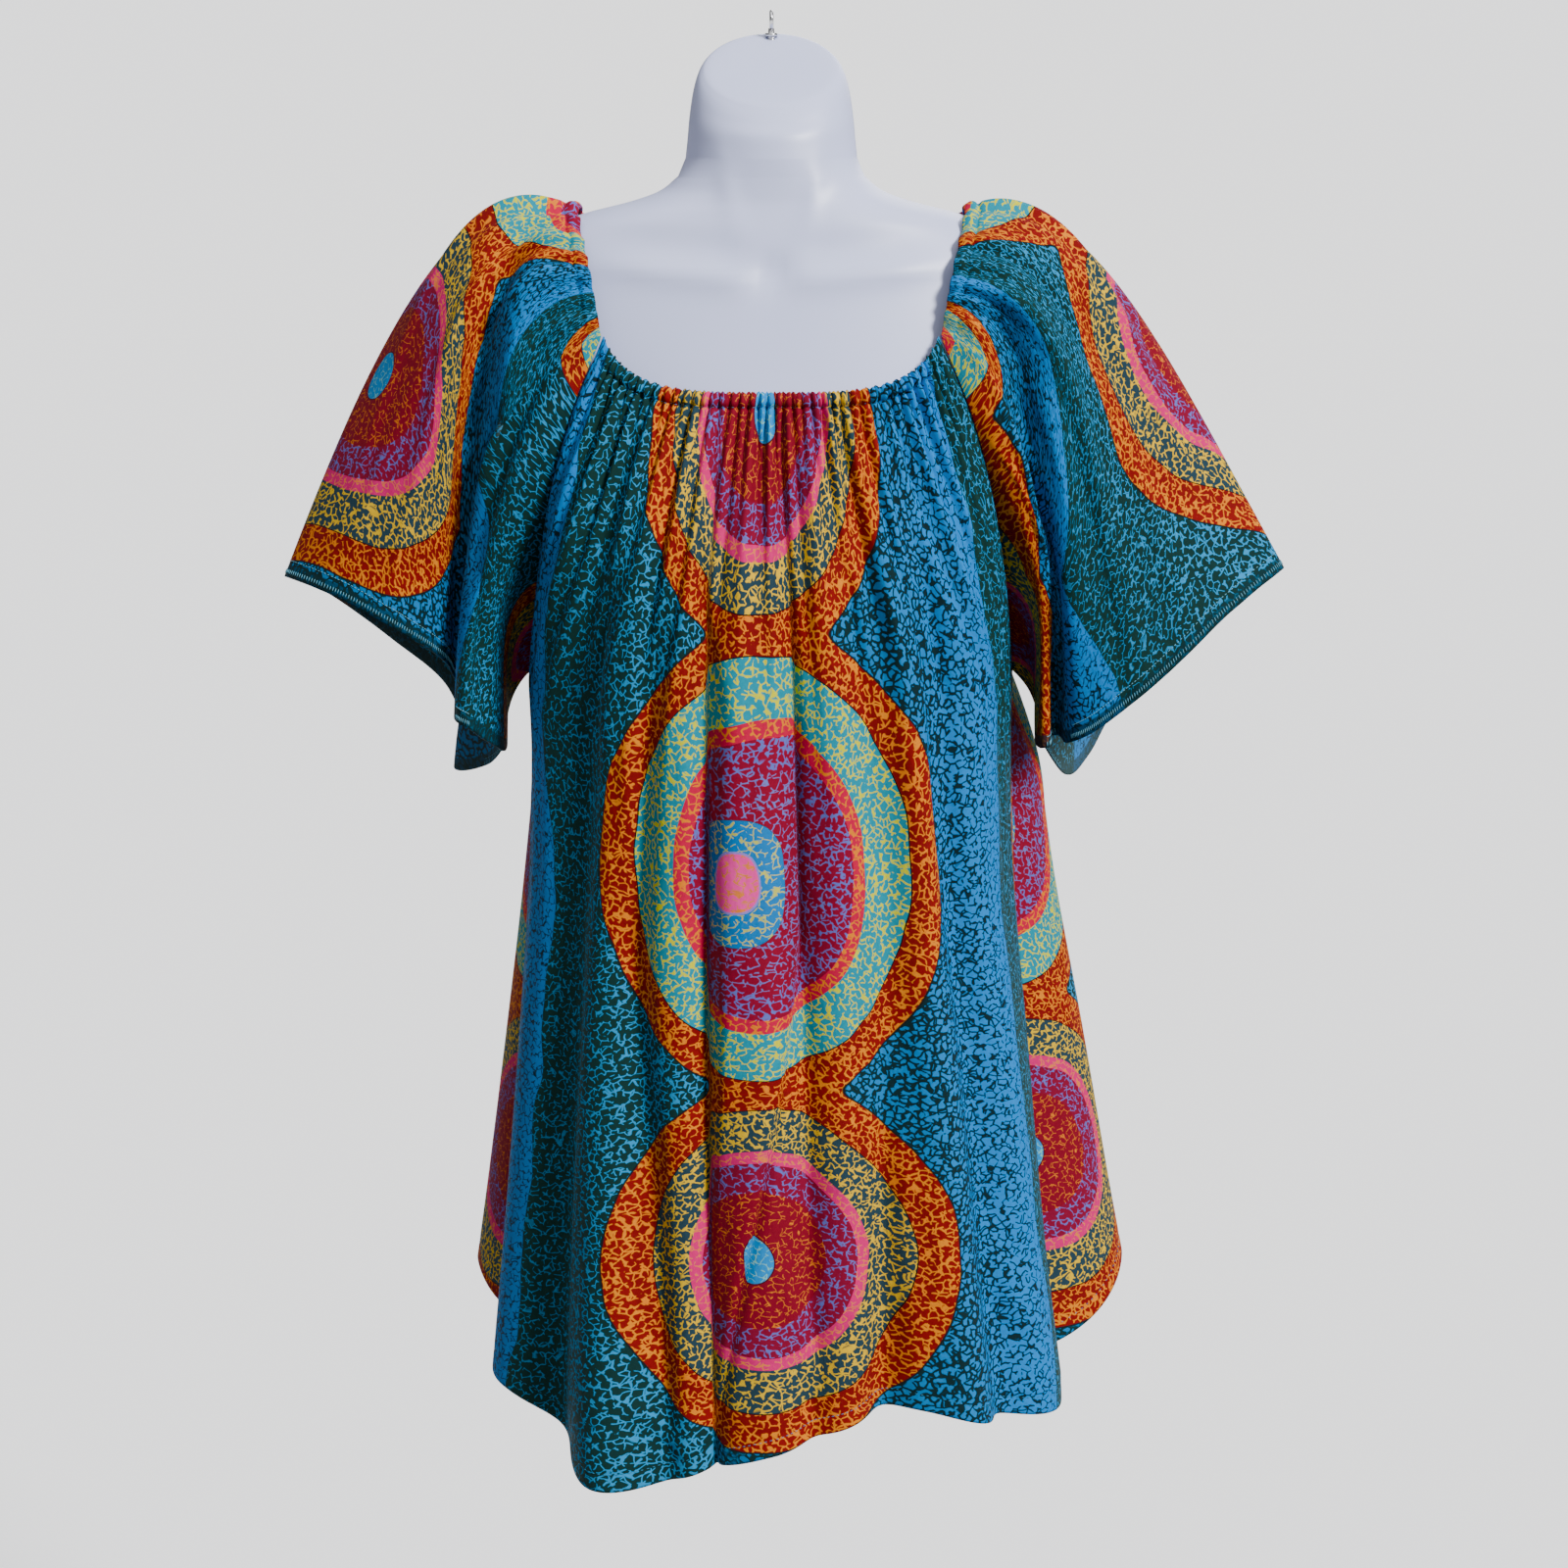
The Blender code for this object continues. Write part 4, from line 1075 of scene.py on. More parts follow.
def make_eye():
    """The wire eye, edge on from the front, with its threaded shank and collar."""
    mesh = bmesh.new()
    centre = Vector((0.0, 0.0, EYE_WIRE_RADIUS - EYE_RING_RADIUS))
    wire_place = Matrix.Translation(centre + Vector((0.0, EYE_RING_RADIUS, 0.0)))
    wire = bmesh.ops.create_circle(
        mesh,
        segments=EYE_WIRE_SIDES,
        radius=EYE_WIRE_RADIUS,
        matrix=wire_place,
    )
    edges = list({edge for vertex in wire["verts"] for edge in vertex.link_edges})
    bmesh.ops.spin(
        mesh,
        geom=wire["verts"] + edges,
        cent=centre,
        axis=(1.0, 0.0, 0.0),
        angle=2.0 * math.pi,
        steps=EYE_RING_STEPS,
        use_merge=True,
    )
    add_rod(mesh, SHANK_RADIUS, SHANK_RADIUS * SHANK_TAPER, SHANK_FOOT, SHANK_TOP)
    add_rod(mesh, COLLAR_RADIUS, COLLAR_RADIUS, COLLAR_FOOT, COLLAR_TOP)
    threads = int((COLLAR_FOOT - SHANK_FOOT) / THREAD_PITCH)
    for thread in range(threads):
        foot = SHANK_FOOT + thread * THREAD_PITCH
        middle = foot + THREAD_PITCH / 2.0
        add_rod(mesh, SHANK_RADIUS, THREAD_RADIUS, foot, middle)
        add_rod(mesh, THREAD_RADIUS, SHANK_RADIUS, middle, foot + THREAD_PITCH)
    bmesh.ops.recalc_face_normals(mesh, faces=mesh.faces)
    for face in mesh.faces:
        face.smooth = len(face.verts) == 4
    piece = finished(mesh, "metal_eye")
    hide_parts("hanging_eye")
    print("metal_eye", len(piece.data.polygons), "faces")
    return piece


metal_eye = make_eye()

# %% [markdown]
# Sewing holds it all together. Each stitch is one small rounded grain of thread laid on the
# cloth along its row. The sleeve hems are overlocked, so short threads also run across the edge.

# %% Stitches
THREAD_HALF_WIDTH = 0.00028
Seam = namedtuple("Seam", "half_length across lift")
CASING_STITCH = Seam(0.0010, False, 0.0002)
HEM_STITCH = Seam(0.0012, False, 0.0002)
EDGE_STITCH = Seam(0.0011, False, 0.0002)
OVERLOCK_STITCH = Seam(0.0019, True, 0.0003)
STITCH_SLOPE = 0.004
SLEEVE_EDGE_DOWN = 0.972
OVERLOCK_DOWN = 0.9905
# where a stitch belongs to a sleeve, and the middle that it faces away from
SLEEVE_INNER_X = 0.205
SLEEVE_LOWEST_Z = -0.56
SLEEVE_MIDDLE_X = 0.245


def add_stitches(mesh, row, lower_row, seam, closed):
    """Lays a stitch on the cloth at each point of a row; the lower row gives the slope."""
    count = len(row) - 1
    first = 0 if closed else 1
    for index in range(first, count):
        place = row[index].place
        along = (row[index + 1].place - row[index - 1 if index else -2].place).normalized()
        downward = (lower_row[index].place - place).normalized()
        outward = along.cross(downward).normalized()
        if outward.dot(seam_outward(place)) < 0.0:
            outward = -outward
        run = downward if seam.across else along
        side = outward.cross(run).normalized()
        turn = Matrix((run, side, outward)).transposed().to_4x4()
        lift = place + outward * (CLOTH_WALL / 2.0 + seam.lift)
        size = Matrix.Diagonal((seam.half_length, THREAD_HALF_WIDTH, THREAD_HALF_WIDTH, 1.0))
        bmesh.ops.create_icosphere(
            mesh,
            subdivisions=1,
            radius=1.0,
            matrix=Matrix.Translation(lift) @ turn @ size,
        )


def make_stitches(name, rows_and_seams, parent_cloth, closed):
    """One piece that holds the rows of stitches of a cloth piece."""
    mesh = bmesh.new()
    for row, lower_row, seam in rows_and_seams:
        add_stitches(mesh, row, lower_row, seam, closed)
    for face in mesh.faces:
        face.smooth = True
    piece = finished(mesh, name)
    print(name, "on", parent_cloth.name, len(piece.data.polygons), "faces")
    return piece


def panel_length(panel):
    """The length of a panel down its middle."""
    hem_rows = FRONT_HEM_ROWS if panel.facing == FRONT else BACK_HEM_ROWS
    return neck_height(panel.facing, 0.0) - eased(hem_rows, 0.0)[0]


def panel_stitches(panel, cloth, casing_count, hem_count):
    """The stitches under the neck casing and along the hem of a panel."""
    length = panel_length(panel)
    rows = []
    for distance, count, seam in (
        (CASING_HEIGHT, casing_count, CASING_STITCH),
        (length - HEM_TURN, hem_count, HEM_STITCH),
    ):
        down = distance / length
        lower = panel_row(panel, down + STITCH_SLOPE, count)
        rows.append((panel_row(panel, down, count), lower, seam))
    return make_stitches(panel.name + "_stitches", rows, cloth, False)


def sleeve_stitches(sleeve, cloth, edge_count, overlock_count):
    """The line of stitches and the overlocked edge of a sleeve's hem."""
    rows = []
    for down, count, seam in (
        (SLEEVE_EDGE_DOWN, edge_count, EDGE_STITCH),
        (OVERLOCK_DOWN, overlock_count, OVERLOCK_STITCH),
    ):
        lower = sleeve_row(sleeve, down + STITCH_SLOPE, count)
        rows.append((sleeve_row(sleeve, down, count), lower, seam))
    return make_stitches(sleeve.name + "_stitches", rows, cloth, True)


def seam_outward(place):
    """The way out of the object at a place, which a stitch faces."""
    if abs(place.x) < SLEEVE_INNER_X or place.z < SLEEVE_LOWEST_Z:
        return from_torso(place)
    side = math.copysign(1.0, place.x)
    return place - Vector((side * SLEEVE_MIDDLE_X, TORSO_MIDDLE.y, place.z))


front_stitches = panel_stitches(FRONT_PANEL, front_cloth, 118, 190)
back_stitches = panel_stitches(BACK_PANEL, back_cloth, 108, 190)
sleeve_stitch_pieces = [
    sleeve_stitches(sleeve, cloth, 260, 330) for sleeve, cloth in zip(SLEEVES, sleeve_cloths)
]


# %% [markdown]
# Materials are node trees. A few helpers keep them short: each makes one node, joins what it is
# given, and hands back its output, so that a tree reads like a sum.

# %% Node helpers
DYE_DEPTH = 1.2


class Tree:
    """A material's node tree with one method for each kind of node that is used here."""

    def __init__(self, name):
        self.material = bpy.data.materials.new(name)
        self.material.use_nodes = True
        self.nodes = self.material.node_tree.nodes
        self.links = self.material.node_tree.links
        self.shader = self.nodes["Principled BSDF"]

    def feed(self, socket, value):
        """Joins an output to a socket, or sets the socket's own value."""
        if isinstance(value, bpy.types.NodeSocket):
            self.links.new(value, socket)
        else:
            socket.default_value = value

    def surface(self, values):
        """Feeds the shader's sockets by name."""
        for name, value in values.items():
            self.feed(self.shader.inputs[name], value)

    def math(self, operation, first, second=0.0, third=0.0):
        node = self.nodes.new("ShaderNodeMath")
        node.operation = operation
        for socket, value in zip(node.inputs, (first, second, third)):
            self.feed(socket, value)
        return node.outputs[0]

    def plus(self, first, second):
        return self.math("ADD", first, second)

    def minus(self, first, second):
        return self.math("SUBTRACT", first, second)

    def times(self, first, second):
        return self.math("MULTIPLY", first, second)

    def over(self, first, second):
        return self.math("DIVIDE", first, second)

    def size(self, value):
        """A number without its sign."""
        return self.math("ABSOLUTE", value)

    def mix(self, share, first, second, blend="MIX", kind="RGBA"):
        """Mixes two colours, or two plain numbers when the kind is FLOAT."""
        node = self.nodes.new("ShaderNodeMix")
        node.data_type = kind
        node.blend_type = blend
        for name, value in (("Factor", share), ("A", first), ("B", second)):
            self.feed(node.inputs[name], value)
        return node.outputs["Result"]

    def noise(self, vector, scale, detail=2.0, roughness=0.5):
        node = self.nodes.new("ShaderNodeTexNoise")
        self.feed(node.inputs["Vector"], vector)
        node.inputs["Scale"].default_value = scale
        node.inputs["Detail"].default_value = detail
        node.inputs["Roughness"].default_value = roughness
        return node

    def ramp(self, value, stops, interpolation="CONSTANT"):
        node = self.nodes.new("ShaderNodeValToRGB")
        node.color_ramp.interpolation = interpolation
        elements = node.color_ramp.elements
        while len(elements) < len(stops):
            elements.new(0.5)
        for element, (position, stop_colour) in zip(elements, stops):
            element.position = position
            element.color = stop_colour
        self.feed(node.inputs["Fac"], value)
        return node.outputs["Color"], node.outputs["Alpha"]

    def separate(self, vector):
        node = self.nodes.new("ShaderNodeSeparateXYZ")
        self.feed(node.inputs[0], vector)
        return node.outputs

    def combine(self, x, y, z=0.0):
        node = self.nodes.new("ShaderNodeCombineXYZ")
        for socket, value in zip(node.inputs, (x, y, z)):
            self.feed(socket, value)
        return node.outputs[0]

    def bump(self, height, strength, distance, normal=None):
        node = self.nodes.new("ShaderNodeBump")
        self.feed(node.inputs["Height"], height)
        node.inputs["Strength"].default_value = strength
        node.inputs["Distance"].default_value = distance
        if normal is not None:
            self.feed(node.inputs["Normal"], normal)
        return node.outputs[0]


def linear(part):
    """The linear value of one part of a screen colour."""
    return part / 12.92 if part <= 0.04045 else ((part + 0.055) / 1.055) ** 2.4


def colour(code):
    """A colour from its six-figure screen code, as linear red, green, blue and a full alpha."""
    return (*(linear(int(code[start:start + 2], 16) / 255.0) for start in (0, 2, 4)), 1.0)


def dye(code, strength):
    """A deeper mix of a screen colour, because the light and the view soften strong colours."""
    return (*(strength * part**DYE_DEPTH for part in colour(code)[:3]), 1.0)


# %% [markdown]
# Wax print is made with resin that cracks, so dye creeps in along fine branching lines. The old
# and widespread motif here is rings round a spot, in rows down the cloth, on a crackled ground.
# Down a column, medallions come in threes, small, large and small, with plain ground between.
# Every zone has a dark and a light dye. Rings are drawn by distance from the nearest medallion
# middle, and a cell pattern's edges, bent and broken by noise, draw the crackle in them.

# %% Colours and sizes of the print
ROW_SPACING = 0.285
LARGE_MEDALLION_DOWN = 0.298
REPEAT_DOWN = 0.930
LARGE_RADIUS = 0.170
SMALL_RADIUS = 0.146
HEART_RADIUS = 0.0425
HEART_SHIFT = 0.018
HEART_SLIMNESS = 1.35
HEART_ROUNDNESS = 2.5
DOT_RADIUS = 0.0190
DOT_SLIMNESS = 1.3
RING_REACH = 0.2
RING_WANDER = 0.0065
MERGE_WIDTH = 0.018
CELL_SIZE = 0.0050
CRACK_WANDER = 0.0034
CRACK_WANDER_SCALE = 190.0
LINE_BREAK = 1.6
LINE_BREAK_SCALE = 230.0
GAP_SHARE = 1.9
LINE_SOFTNESS = 0.03
RING_WANDER_SCALE = 11.0
RING_EDGE_SOFTNESS = 0.0004
OUTLINE_WIDTH = 0.0006
OUTLINE_SOFTNESS = 0.0003
BAND_EDGE = 0.235
BAND_DRIFT = 0.05
BANDS_ASIDE = 10.0
CELLS_FROM = 0.46
CELLS_RAGGED = 0.10
CELLS_SOFTNESS = 0.02
BRIGHT_POWER = 4.0
DARK_DYE = 0.92
LIGHT_DYE = 0.66
BLUE_DYE = 0.72
# outer radius of the ring, dark dye, light dye, half width of the light lines in cells
LARGE_RINGS = (
    (0.0750, "900E38", "8390DC", 0.058),
    (0.0960, "900E3A", "7B86D9", 0.080),
    (0.1070, "C40A4C", "FF9A1E", 0.088),
    (0.1435, "0094A8", "F0EC20", 0.080),
    (0.1445, "2A1210", "2A1210", 0.000),
    (0.1570, "860E14", "FF9A0A", 0.084),
    (1.0000, "8E1014", "FFA00C", 0.098),
)
HEART_RINGS = (
    (0.0185, "F050A8", "FFA050", 0.066),
    (0.0197, "9A8AD0", "9A8AD0", 0.000),
    (0.0415, "0880BC", "E0E070", 0.058),
    (1.0000, "12303A", "12303A", 0.000),
)
SMALL_RINGS = (
    (0.0520, "8A0A2E", "FF9A20", 0.031),
    (0.0750, "8A0E3C", "7B86D9", 0.060),
    (0.0840, "D4267A", "FF9A50", 0.062),
    (0.1160, "2E4A56", "FFD416", 0.088),
    (0.1170, "2A1210", "2A1210", 0.000),
    (0.1300, "860E14", "FF9A0A", 0.084),
    (1.0000, "8E1014", "FFA00C", 0.098),
)
DOT_RINGS = (
    (0.0176, "0A90CC", "9FE6D8", 0.040),
    (1.0000, "5A1020", "5A1020", 0.000),
)
# place in the band, half width of its lines in cells
MARK_WIDTHS = ((0.0, 0.046), (0.42, 0.112))
INK_WIDTHS = ((0.45, 0.165), (0.86, 0.140), (0.955, 0.090), (1.0, 0.052))
OUTLINE = "182024"
GROUND_DARK = "15403C"
GROUND_INK = "0A2E36"
GROUND_MARK = "2CA6DA"
GROUND_CELL = "1690C8"
GROUND_BRIGHT = "069AE6"


def ring_stops(rings, side):
    """Colour ramp stops for the dark or light dye of a medallion; alpha holds the line width."""
    stops = []
    start = 0.0
    for outer, dark, light, width in rings:
        mixed_dye = dye(dark, DARK_DYE) if side == "dark" else dye(light, LIGHT_DYE)
        stops.append((start / RING_REACH, (*mixed_dye[:3], width)))
        start = min(outer, RING_REACH)
    return stops


# %% The print as nodes
def nearest(tree, value, start, spacing):
    """The signed distance from a value to the nearest of a row of evenly spaced places."""
    shifted = tree.minus(value, start)
    count = tree.math("ROUND", tree.over(shifted, spacing))
    return tree.minus(shifted, tree.times(count, spacing))


def length_of(tree, across, down, roundness=2.0):
    """The length of a flat vector; a roundness above 2 gives rounded squares for circles."""
    across_part = tree.math("POWER", tree.size(across), roundness)
    down_part = tree.math("POWER", tree.size(down), roundness)
    return tree.math("POWER", tree.plus(across_part, down_part), 1.0 / roundness)


def ring_dyes(tree, radius, rings):
    """The two dyes of a medallion at a radius, and the width of its light lines."""
    reach = tree.over(radius, RING_REACH)
    dark, _ = tree.ramp(reach, ring_stops(rings, "dark"))
    light, width = tree.ramp(reach, ring_stops(rings, "light"))
    return dark, light, width


def chosen(tree, share, first, second):
    """One of two sets of two dyes and a width."""
    dark = tree.mix(share, first[0], second[0])
    light = tree.mix(share, first[1], second[1])
    return dark, light, tree.mix(share, first[2], second[2], kind="FLOAT")


def crackle(tree, flat):
    """The distance from the nearest crack in cell widths, and the noise that breaks the cracks."""
    bend = tree.noise(flat, CRACK_WANDER_SCALE, 0.0)
    shift = tree.nodes.new("ShaderNodeVectorMath")
    shift.operation = "MULTIPLY_ADD"
    tree.feed(shift.inputs[0], bend.outputs["Color"])
    shift.inputs[1].default_value = (CRACK_WANDER, CRACK_WANDER, 0.0)
    tree.feed(shift.inputs[2], flat)
    cells = tree.nodes.new("ShaderNodeTexVoronoi")
    cells.feature = "DISTANCE_TO_EDGE"
    cells.inputs["Scale"].default_value = 1.0 / CELL_SIZE
    tree.feed(cells.inputs["Vector"], shift.outputs[0])
    breaks = tree.minus(tree.noise(flat, LINE_BREAK_SCALE, 0.0).outputs["Fac"], 0.5)
    return cells.outputs["Distance"], breaks


def on_crack(tree, from_crack, breaks, width):
    """1 on the cracks and 0 off them: even lines of a width in cells, with blunt-ended gaps."""
    broken = tree.math("MULTIPLY_ADD", breaks, LINE_BREAK, tree.times(width, GAP_SHARE))
    return sharp(tree, tree.minus(tree.math("MINIMUM", broken, width), from_crack))


def sharp(tree, value, softness=LINE_SOFTNESS):
    """0 below zero and 1 above it, with a narrow soft edge."""
    node = tree.nodes.new("ShaderNodeMapRange")
    tree.feed(node.inputs["Value"], value)
    node.inputs["From Min"].default_value = -softness
    node.inputs["From Max"].default_value = softness
    return node.outputs["Result"]


def wax_print(tree, flat):
    """The colour of the print at a place on the flat cloth."""
    wander = tree.separate(tree.noise(flat, RING_WANDER_SCALE, 2.0).outputs["Color"])
    parts = tree.separate(flat)
    wander_across = tree.times(tree.minus(wander[0], 0.5), RING_WANDER * 2.0)
    wander_down = tree.times(tree.minus(wander[1], 0.5), RING_WANDER * 2.0)
    across = tree.plus(nearest(tree, parts[0], 0.0, COLUMN_SPACING), wander_across)
    down = tree.plus(parts[1], wander_down)
    large_down = nearest(tree, down, LARGE_MEDALLION_DOWN, REPEAT_DOWN)
    small_down = tree.minus(tree.size(large_down), ROW_SPACING)
    large_radius = length_of(tree, across, large_down)
    small_radius = length_of(tree, across, small_down)
    heart_across = tree.times(tree.plus(across, HEART_SHIFT), HEART_SLIMNESS)
    heart_radius = length_of(tree, heart_across, large_down, HEART_ROUNDNESS)

    from_large = tree.minus(large_radius, LARGE_RADIUS)
    from_small = tree.minus(small_radius, SMALL_RADIUS)
    dot_radius = length_of(tree, tree.times(across, DOT_SLIMNESS), small_down)
    is_dot = tree.math("LESS_THAN", dot_radius, DOT_RADIUS)
    is_small = tree.math("LESS_THAN", from_small, from_large)
    is_heart = tree.math("LESS_THAN", heart_radius, HEART_RADIUS)
    from_edge = tree.math("SMOOTH_MIN", from_large, from_small, MERGE_WIDTH)
    rings = chosen(tree, is_small, ring_dyes(tree, large_radius, LARGE_RINGS),
                   ring_dyes(tree, small_radius, SMALL_RINGS))
    rings = chosen(tree, is_dot, rings, ring_dyes(tree, dot_radius, DOT_RINGS))
    ring_dark, ring_light, ring_width = chosen(
        tree, is_heart, rings, ring_dyes(tree, heart_radius, HEART_RINGS)
    )

    from_crack, breaks = crackle(tree, flat)
    ring_mask = on_crack(tree, from_crack, breaks, ring_width)
    ring_colour = tree.mix(ring_mask, ring_dark, ring_light)

    ground_colour = crackled_ground(tree, parts, wander, from_crack, breaks)
    inside = sharp(tree, tree.times(from_edge, -1.0), RING_EDGE_SOFTNESS)
    printed = tree.mix(inside, ground_colour, ring_colour)
    on_line = tree.minus(OUTLINE_WIDTH, tree.size(from_edge))
    return tree.mix(sharp(tree, on_line, OUTLINE_SOFTNESS), printed, dye(OUTLINE, DARK_DYE))


def band_width(tree, band, widths):
    """The width of the ground's lines, which changes evenly along a band."""
    stops = [(at, (0.0, 0.0, 0.0, width)) for at, width in widths]
    return tree.ramp(band, stops, "LINEAR")[1]


def crackled_ground(tree, parts, wander, from_crack, breaks):
    """The ground: bands from dark with light marks, through cells, to bright with dark cracks."""
    drift = tree.times(tree.minus(wander[2], 0.5), BAND_DRIFT)
    place = tree.over(tree.minus(parts[0], BAND_EDGE), COLUMN_SPACING)
    band = tree.math("FRACT", tree.plus(place, tree.plus(drift, BANDS_ASIDE)))
    marks = on_crack(tree, from_crack, breaks, band_width(tree, band, MARK_WIDTHS))
    ink = on_crack(tree, from_crack, breaks, band_width(tree, band, INK_WIDTHS))
    past_edge = tree.minus(tree.math("MULTIPLY_ADD", breaks, CELLS_RAGGED, band), CELLS_FROM)
    dark = tree.mix(band, dye(GROUND_DARK, DARK_DYE), dye(GROUND_INK, DARK_DYE))
    cell, bright, mark = (dye(code, BLUE_DYE) for code in (GROUND_CELL, GROUND_BRIGHT, GROUND_MARK))
    blue = tree.mix(tree.math("POWER", band, BRIGHT_POWER), cell, bright)
    marked = tree.mix(marks, dark, mark)
    return tree.mix(sharp(tree, past_edge, CELLS_SOFTNESS), marked, tree.mix(ink, blue, dark))


# %% [markdown]
# Cotton is matt with a faint sheen. Two things break up its surface: the plain weave of the
# thread, far too fine to model, and soft wrinkles a few centimetres long, which run downwards.
# The sleeve hems have a dark bound edge, which is read from the distance to the hem.

# %% Cotton
THREADS_PER_METRE = 1900.0
WEAVE_DEPTH = 0.00012
WRINKLE_DEPTH = 0.0028
HEM_BAND = 0.0088
HEM_BAND_SOFTNESS = 0.0005
HEM_BAND_SHARE = 0.8
HEM_BAND_CODE = "0C3A40"
MOTTLE_SCALE = 420.0
MOTTLE_SHARE = 0.16
REVERSE_SHARE = 0.14
REVERSE_CODE = "7F938F"
WRINKLE_SCALE = 26.0
WRINKLE_STRETCH = 2.4
BLACK, WHITE = (0.0, 0.0, 0.0, 1.0), (1.0, 1.0, 1.0, 1.0)


def make_cotton(name, bound_hem, reverse):
    """Printed cotton, or its paler reverse, with or without the dark bound hem of the sleeves."""
    tree = Tree(name)
    uv_node = tree.nodes.new("ShaderNodeUVMap")
    uv_node.uv_map = FLAT_MAP
    flat = uv_node.outputs[0]
    printed = wax_print(tree, flat)
    if bound_hem:
        hem = tree.nodes.new("ShaderNodeAttribute")
        hem.attribute_name = HEM_ATTRIBUTE
        within = sharp(tree, tree.minus(HEM_BAND, hem.outputs["Fac"]), HEM_BAND_SOFTNESS)
        share = tree.times(within, HEM_BAND_SHARE)
        printed = tree.mix(share, printed, dye(HEM_BAND_CODE, DARK_DYE))
    shade = tree.noise(flat, MOTTLE_SCALE, 3.0).outputs["Fac"]
    mottled = tree.mix(MOTTLE_SHARE, printed, tree.mix(shade, BLACK, WHITE), "OVERLAY")
    if reverse:
        mottled = tree.mix(REVERSE_SHARE, mottled, colour(REVERSE_CODE))

    parts = tree.separate(flat)
    warp, weft = (
        tree.math("SINE", tree.times(part, THREADS_PER_METRE * 2.0 * math.pi)) for part in parts[:2]
    )
    drawn_down = tree.combine(tree.times(parts[0], WRINKLE_STRETCH), parts[1])
    wrinkles = tree.noise(drawn_down, WRINKLE_SCALE, 3.0, 0.55).outputs["Fac"]
    soft = tree.bump(wrinkles, 0.55, WRINKLE_DEPTH)
    tree.surface({
        "Base Color": mottled,
        "Normal": tree.bump(tree.times(warp, weft), 0.35, WEAVE_DEPTH, soft),
        "Roughness": 0.78,
        "Specular IOR Level": 0.10,
        "Sheen Weight": 0.01,
        "Sheen Roughness": 0.45,
    })
    return tree.material


for cloths, kind in (((front_cloth, back_cloth), "body"), (sleeve_cloths, "sleeve")):
    right_side = make_cotton(kind + "_cotton", kind == "sleeve", False)
    reverse_side = make_cotton(kind + "_cotton_reverse", kind == "sleeve", True)
    for cloth in cloths:
        cloth.data.materials.append(right_side)
        cloth.data.materials.append(reverse_side)

# %% [markdown]
# The form is cool white plastic with a soft gloss and a very slight unevenness from moulding.
# The thread is a plain matt blue, and the eye is bright plated steel with a fine grain.

# %% Plastic, steel and thread
def cloudy(tree, scale, detail):
    """A fine unevenness in the solid, the same from every side."""
    place = tree.nodes.new("ShaderNodeTexCoord").outputs["Object"]
    return tree.noise(place, scale, detail).outputs["Fac"]


def make_plastic():
    """Cool white moulded plastic."""
    tree = Tree("white_form_plastic")
    cloud = cloudy(tree, 14.0, 2.0)
    tree.surface({
        "Base Color": tree.mix(cloud, colour("C3CAF0"), colour("CBD1F3")),
        "Roughness": tree.math("MULTIPLY_ADD", cloud, 0.08, 0.34),
        "Normal": tree.bump(cloudy(tree, 900.0, 2.0), 0.08, 0.0002),
        "Specular IOR Level": 0.5,
    })
    return tree.material


def make_steel():
    """Bright plated steel wire."""
    tree = Tree("bright_plated_steel")
    fine = cloudy(tree, 700.0, 4.0)
    tree.surface({
        "Base Color": tree.mix(fine, (0.50, 0.50, 0.52, 1.0), (0.68, 0.68, 0.70, 1.0)),
        "Roughness": tree.math("MULTIPLY_ADD", fine, 0.18, 0.16),
        "Metallic": 1.0,
    })
    return tree.material


def make_thread(name, code):
    """Matt sewing thread with a fine twist."""
    tree = Tree(name)
    tone = colour(code)
    darker = (*(part * 0.55 for part in tone[:3]), 1.0)
    twist = cloudy(tree, 2600.0, 1.0)
    tree.surface({"Base Color": tree.mix(twist, darker, tone), "Roughness": 0.8})
    return tree.material


form_shell.data.materials.append(make_plastic())
metal_eye.data.materials.append(make_steel())
body_thread = make_thread("body_thread", "2C7FA6")
hem_thread = make_thread("sleeve_hem_thread", "6FB7CF")
for piece in (front_stitches, back_stitches):
    piece.data.materials.append(body_thread)
for piece in sleeve_stitch_pieces:
    piece.data.materials.append(hem_thread)

# %% [markdown]
# Every piece hangs from the root. The front and back widen from the neck to the hem, and a
# sleeve is widest at its hem, so the flat area is less than width times length.

# %% Every piece on the root
for piece in (front_cloth, back_cloth, *sleeve_cloths):
    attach(piece, "root")
for piece in (front_stitches, back_stitches, *sleeve_stitch_pieces):
    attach(piece, "root")
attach(form_shell, "root")
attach(metal_eye, "root")

# %% [markdown]
# A plain pale floor lies well below the hanging dress. A broad soft light shines from the front
# right, as a studio's big lamp does from far away, so all the cloth gets the same light. Two weaker
# ones, from above and from behind, open the shade.
# The room itself gives only a weak even light, and what the camera sees of it is a wall as pale
# as the lamps make the floor, so that no horizon shows.
# The floor throws no light back up, because that would wash out the shade under the folds.

# %% Floor, light and camera
FLOOR_HEIGHT = -1.9
ROOM_LIGHT = 0.24
ROOM_TINT = (0.95, 0.97, 1.0)
FLOOR_ALBEDO = (0.96, 0.96, 0.97)
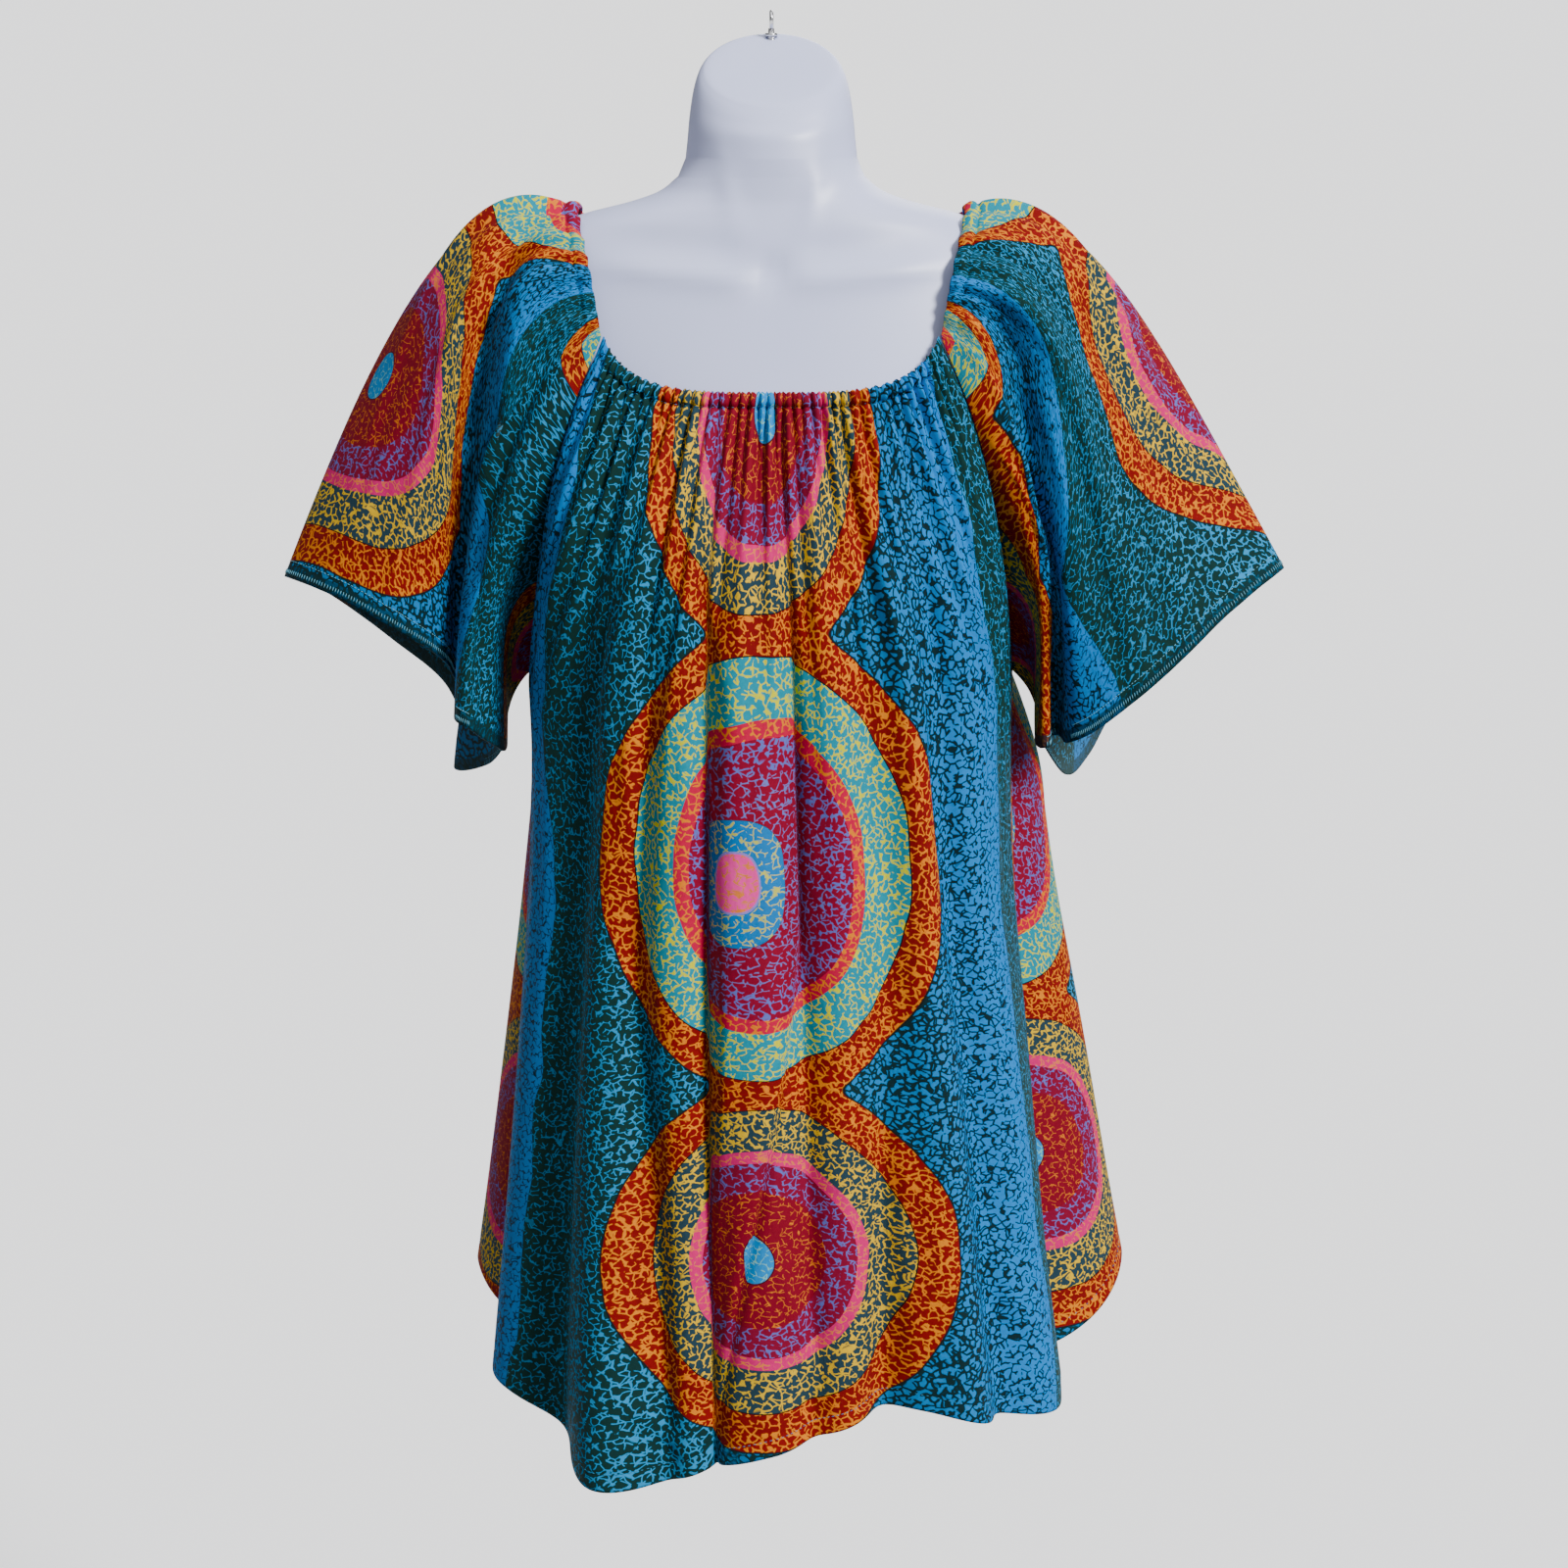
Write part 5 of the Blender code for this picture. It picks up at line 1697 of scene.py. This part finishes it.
# name, the direction it comes from, strength, size in degrees
SUNS = (
    ("key_light", (0.95, -1.0, 0.98), 5.4, 14.0),
    ("top_light", (0.0, -0.2, 1.0), 1.5, 60.0),
    ("back_light", (0.3, 1.0, 0.5), 1.3, 40.0),
)
floor_mesh = bmesh.new()
bmesh.ops.create_grid(
    floor_mesh,
    x_segments=1,
    y_segments=1,
    size=30.0,
    matrix=Matrix.Translation((0.0, 0.0, FLOOR_HEIGHT)),
)
floor = finished(floor_mesh, "floor")
floor_tree = Tree("pale_floor")
floor_tree.surface({
    "Base Color": (*FLOOR_ALBEDO, 1.0),
    "Roughness": 1.0,
    "Specular IOR Level": 0.0,
})
floor.data.materials.append(floor_tree.material)
floor.visible_diffuse = False

world = bpy.data.worlds.new("pale_room")
world.use_nodes = True
room_nodes = world.node_tree.nodes
room_links = world.node_tree.links
room_glow = room_nodes["Background"]
room_glow.inputs["Color"].default_value = (*ROOM_TINT, 1.0)
room_glow.inputs["Strength"].default_value = ROOM_LIGHT
room_wall = room_nodes.new("ShaderNodeBackground")
lamp_light = sum(strength * Vector(come_from).normalized().z for _, come_from, strength, _ in SUNS)
floor_glow = [
    albedo * (lamp_light / math.pi + ROOM_LIGHT * tint)
    for albedo, tint in zip(FLOOR_ALBEDO, ROOM_TINT)
]
room_wall.inputs["Color"].default_value = (*floor_glow, 1.0)
print("wall and floor glow", [round(part, 3) for part in floor_glow])
room_mix = room_nodes.new("ShaderNodeMixShader")
room_links.new(room_nodes.new("ShaderNodeLightPath").outputs["Is Camera Ray"], room_mix.inputs[0])
room_links.new(room_glow.outputs[0], room_mix.inputs[1])
room_links.new(room_wall.outputs[0], room_mix.inputs[2])
room_links.new(room_mix.outputs[0], room_nodes["World Output"].inputs["Surface"])
bpy.context.scene.world = world


def add_sun(name, come_from, strength, softness):
    """A broad far light from a direction; softness is its size in degrees."""
    data = bpy.data.lights.new(name, "SUN")
    data.energy = strength
    data.angle = math.radians(softness)
    lamp = bpy.data.objects.new(name, data)
    lamp.rotation_euler = (-Vector(come_from)).to_track_quat("-Z", "Y").to_euler()
    bpy.context.scene.collection.objects.link(lamp)


for sun in SUNS:
    add_sun(*sun)

CAMERA_PLACE = (0.0085, -2.136, -0.10)
CAMERA_TILT = 11.5
PHOTO_WIDTH = 1600
FOCAL_PIXELS = 3110.0
SENSOR_WIDTH = 36.0
camera_data = bpy.data.cameras.new("photo_camera")
camera_data.sensor_width = SENSOR_WIDTH
camera_data.lens = SENSOR_WIDTH * FOCAL_PIXELS / PHOTO_WIDTH
camera = bpy.data.objects.new("photo_camera", camera_data)
camera.location = CAMERA_PLACE
camera.rotation_euler = (math.radians(90.0 - CAMERA_TILT), 0.0, 0.0)
bpy.context.scene.collection.objects.link(camera)
bpy.context.scene.camera = camera
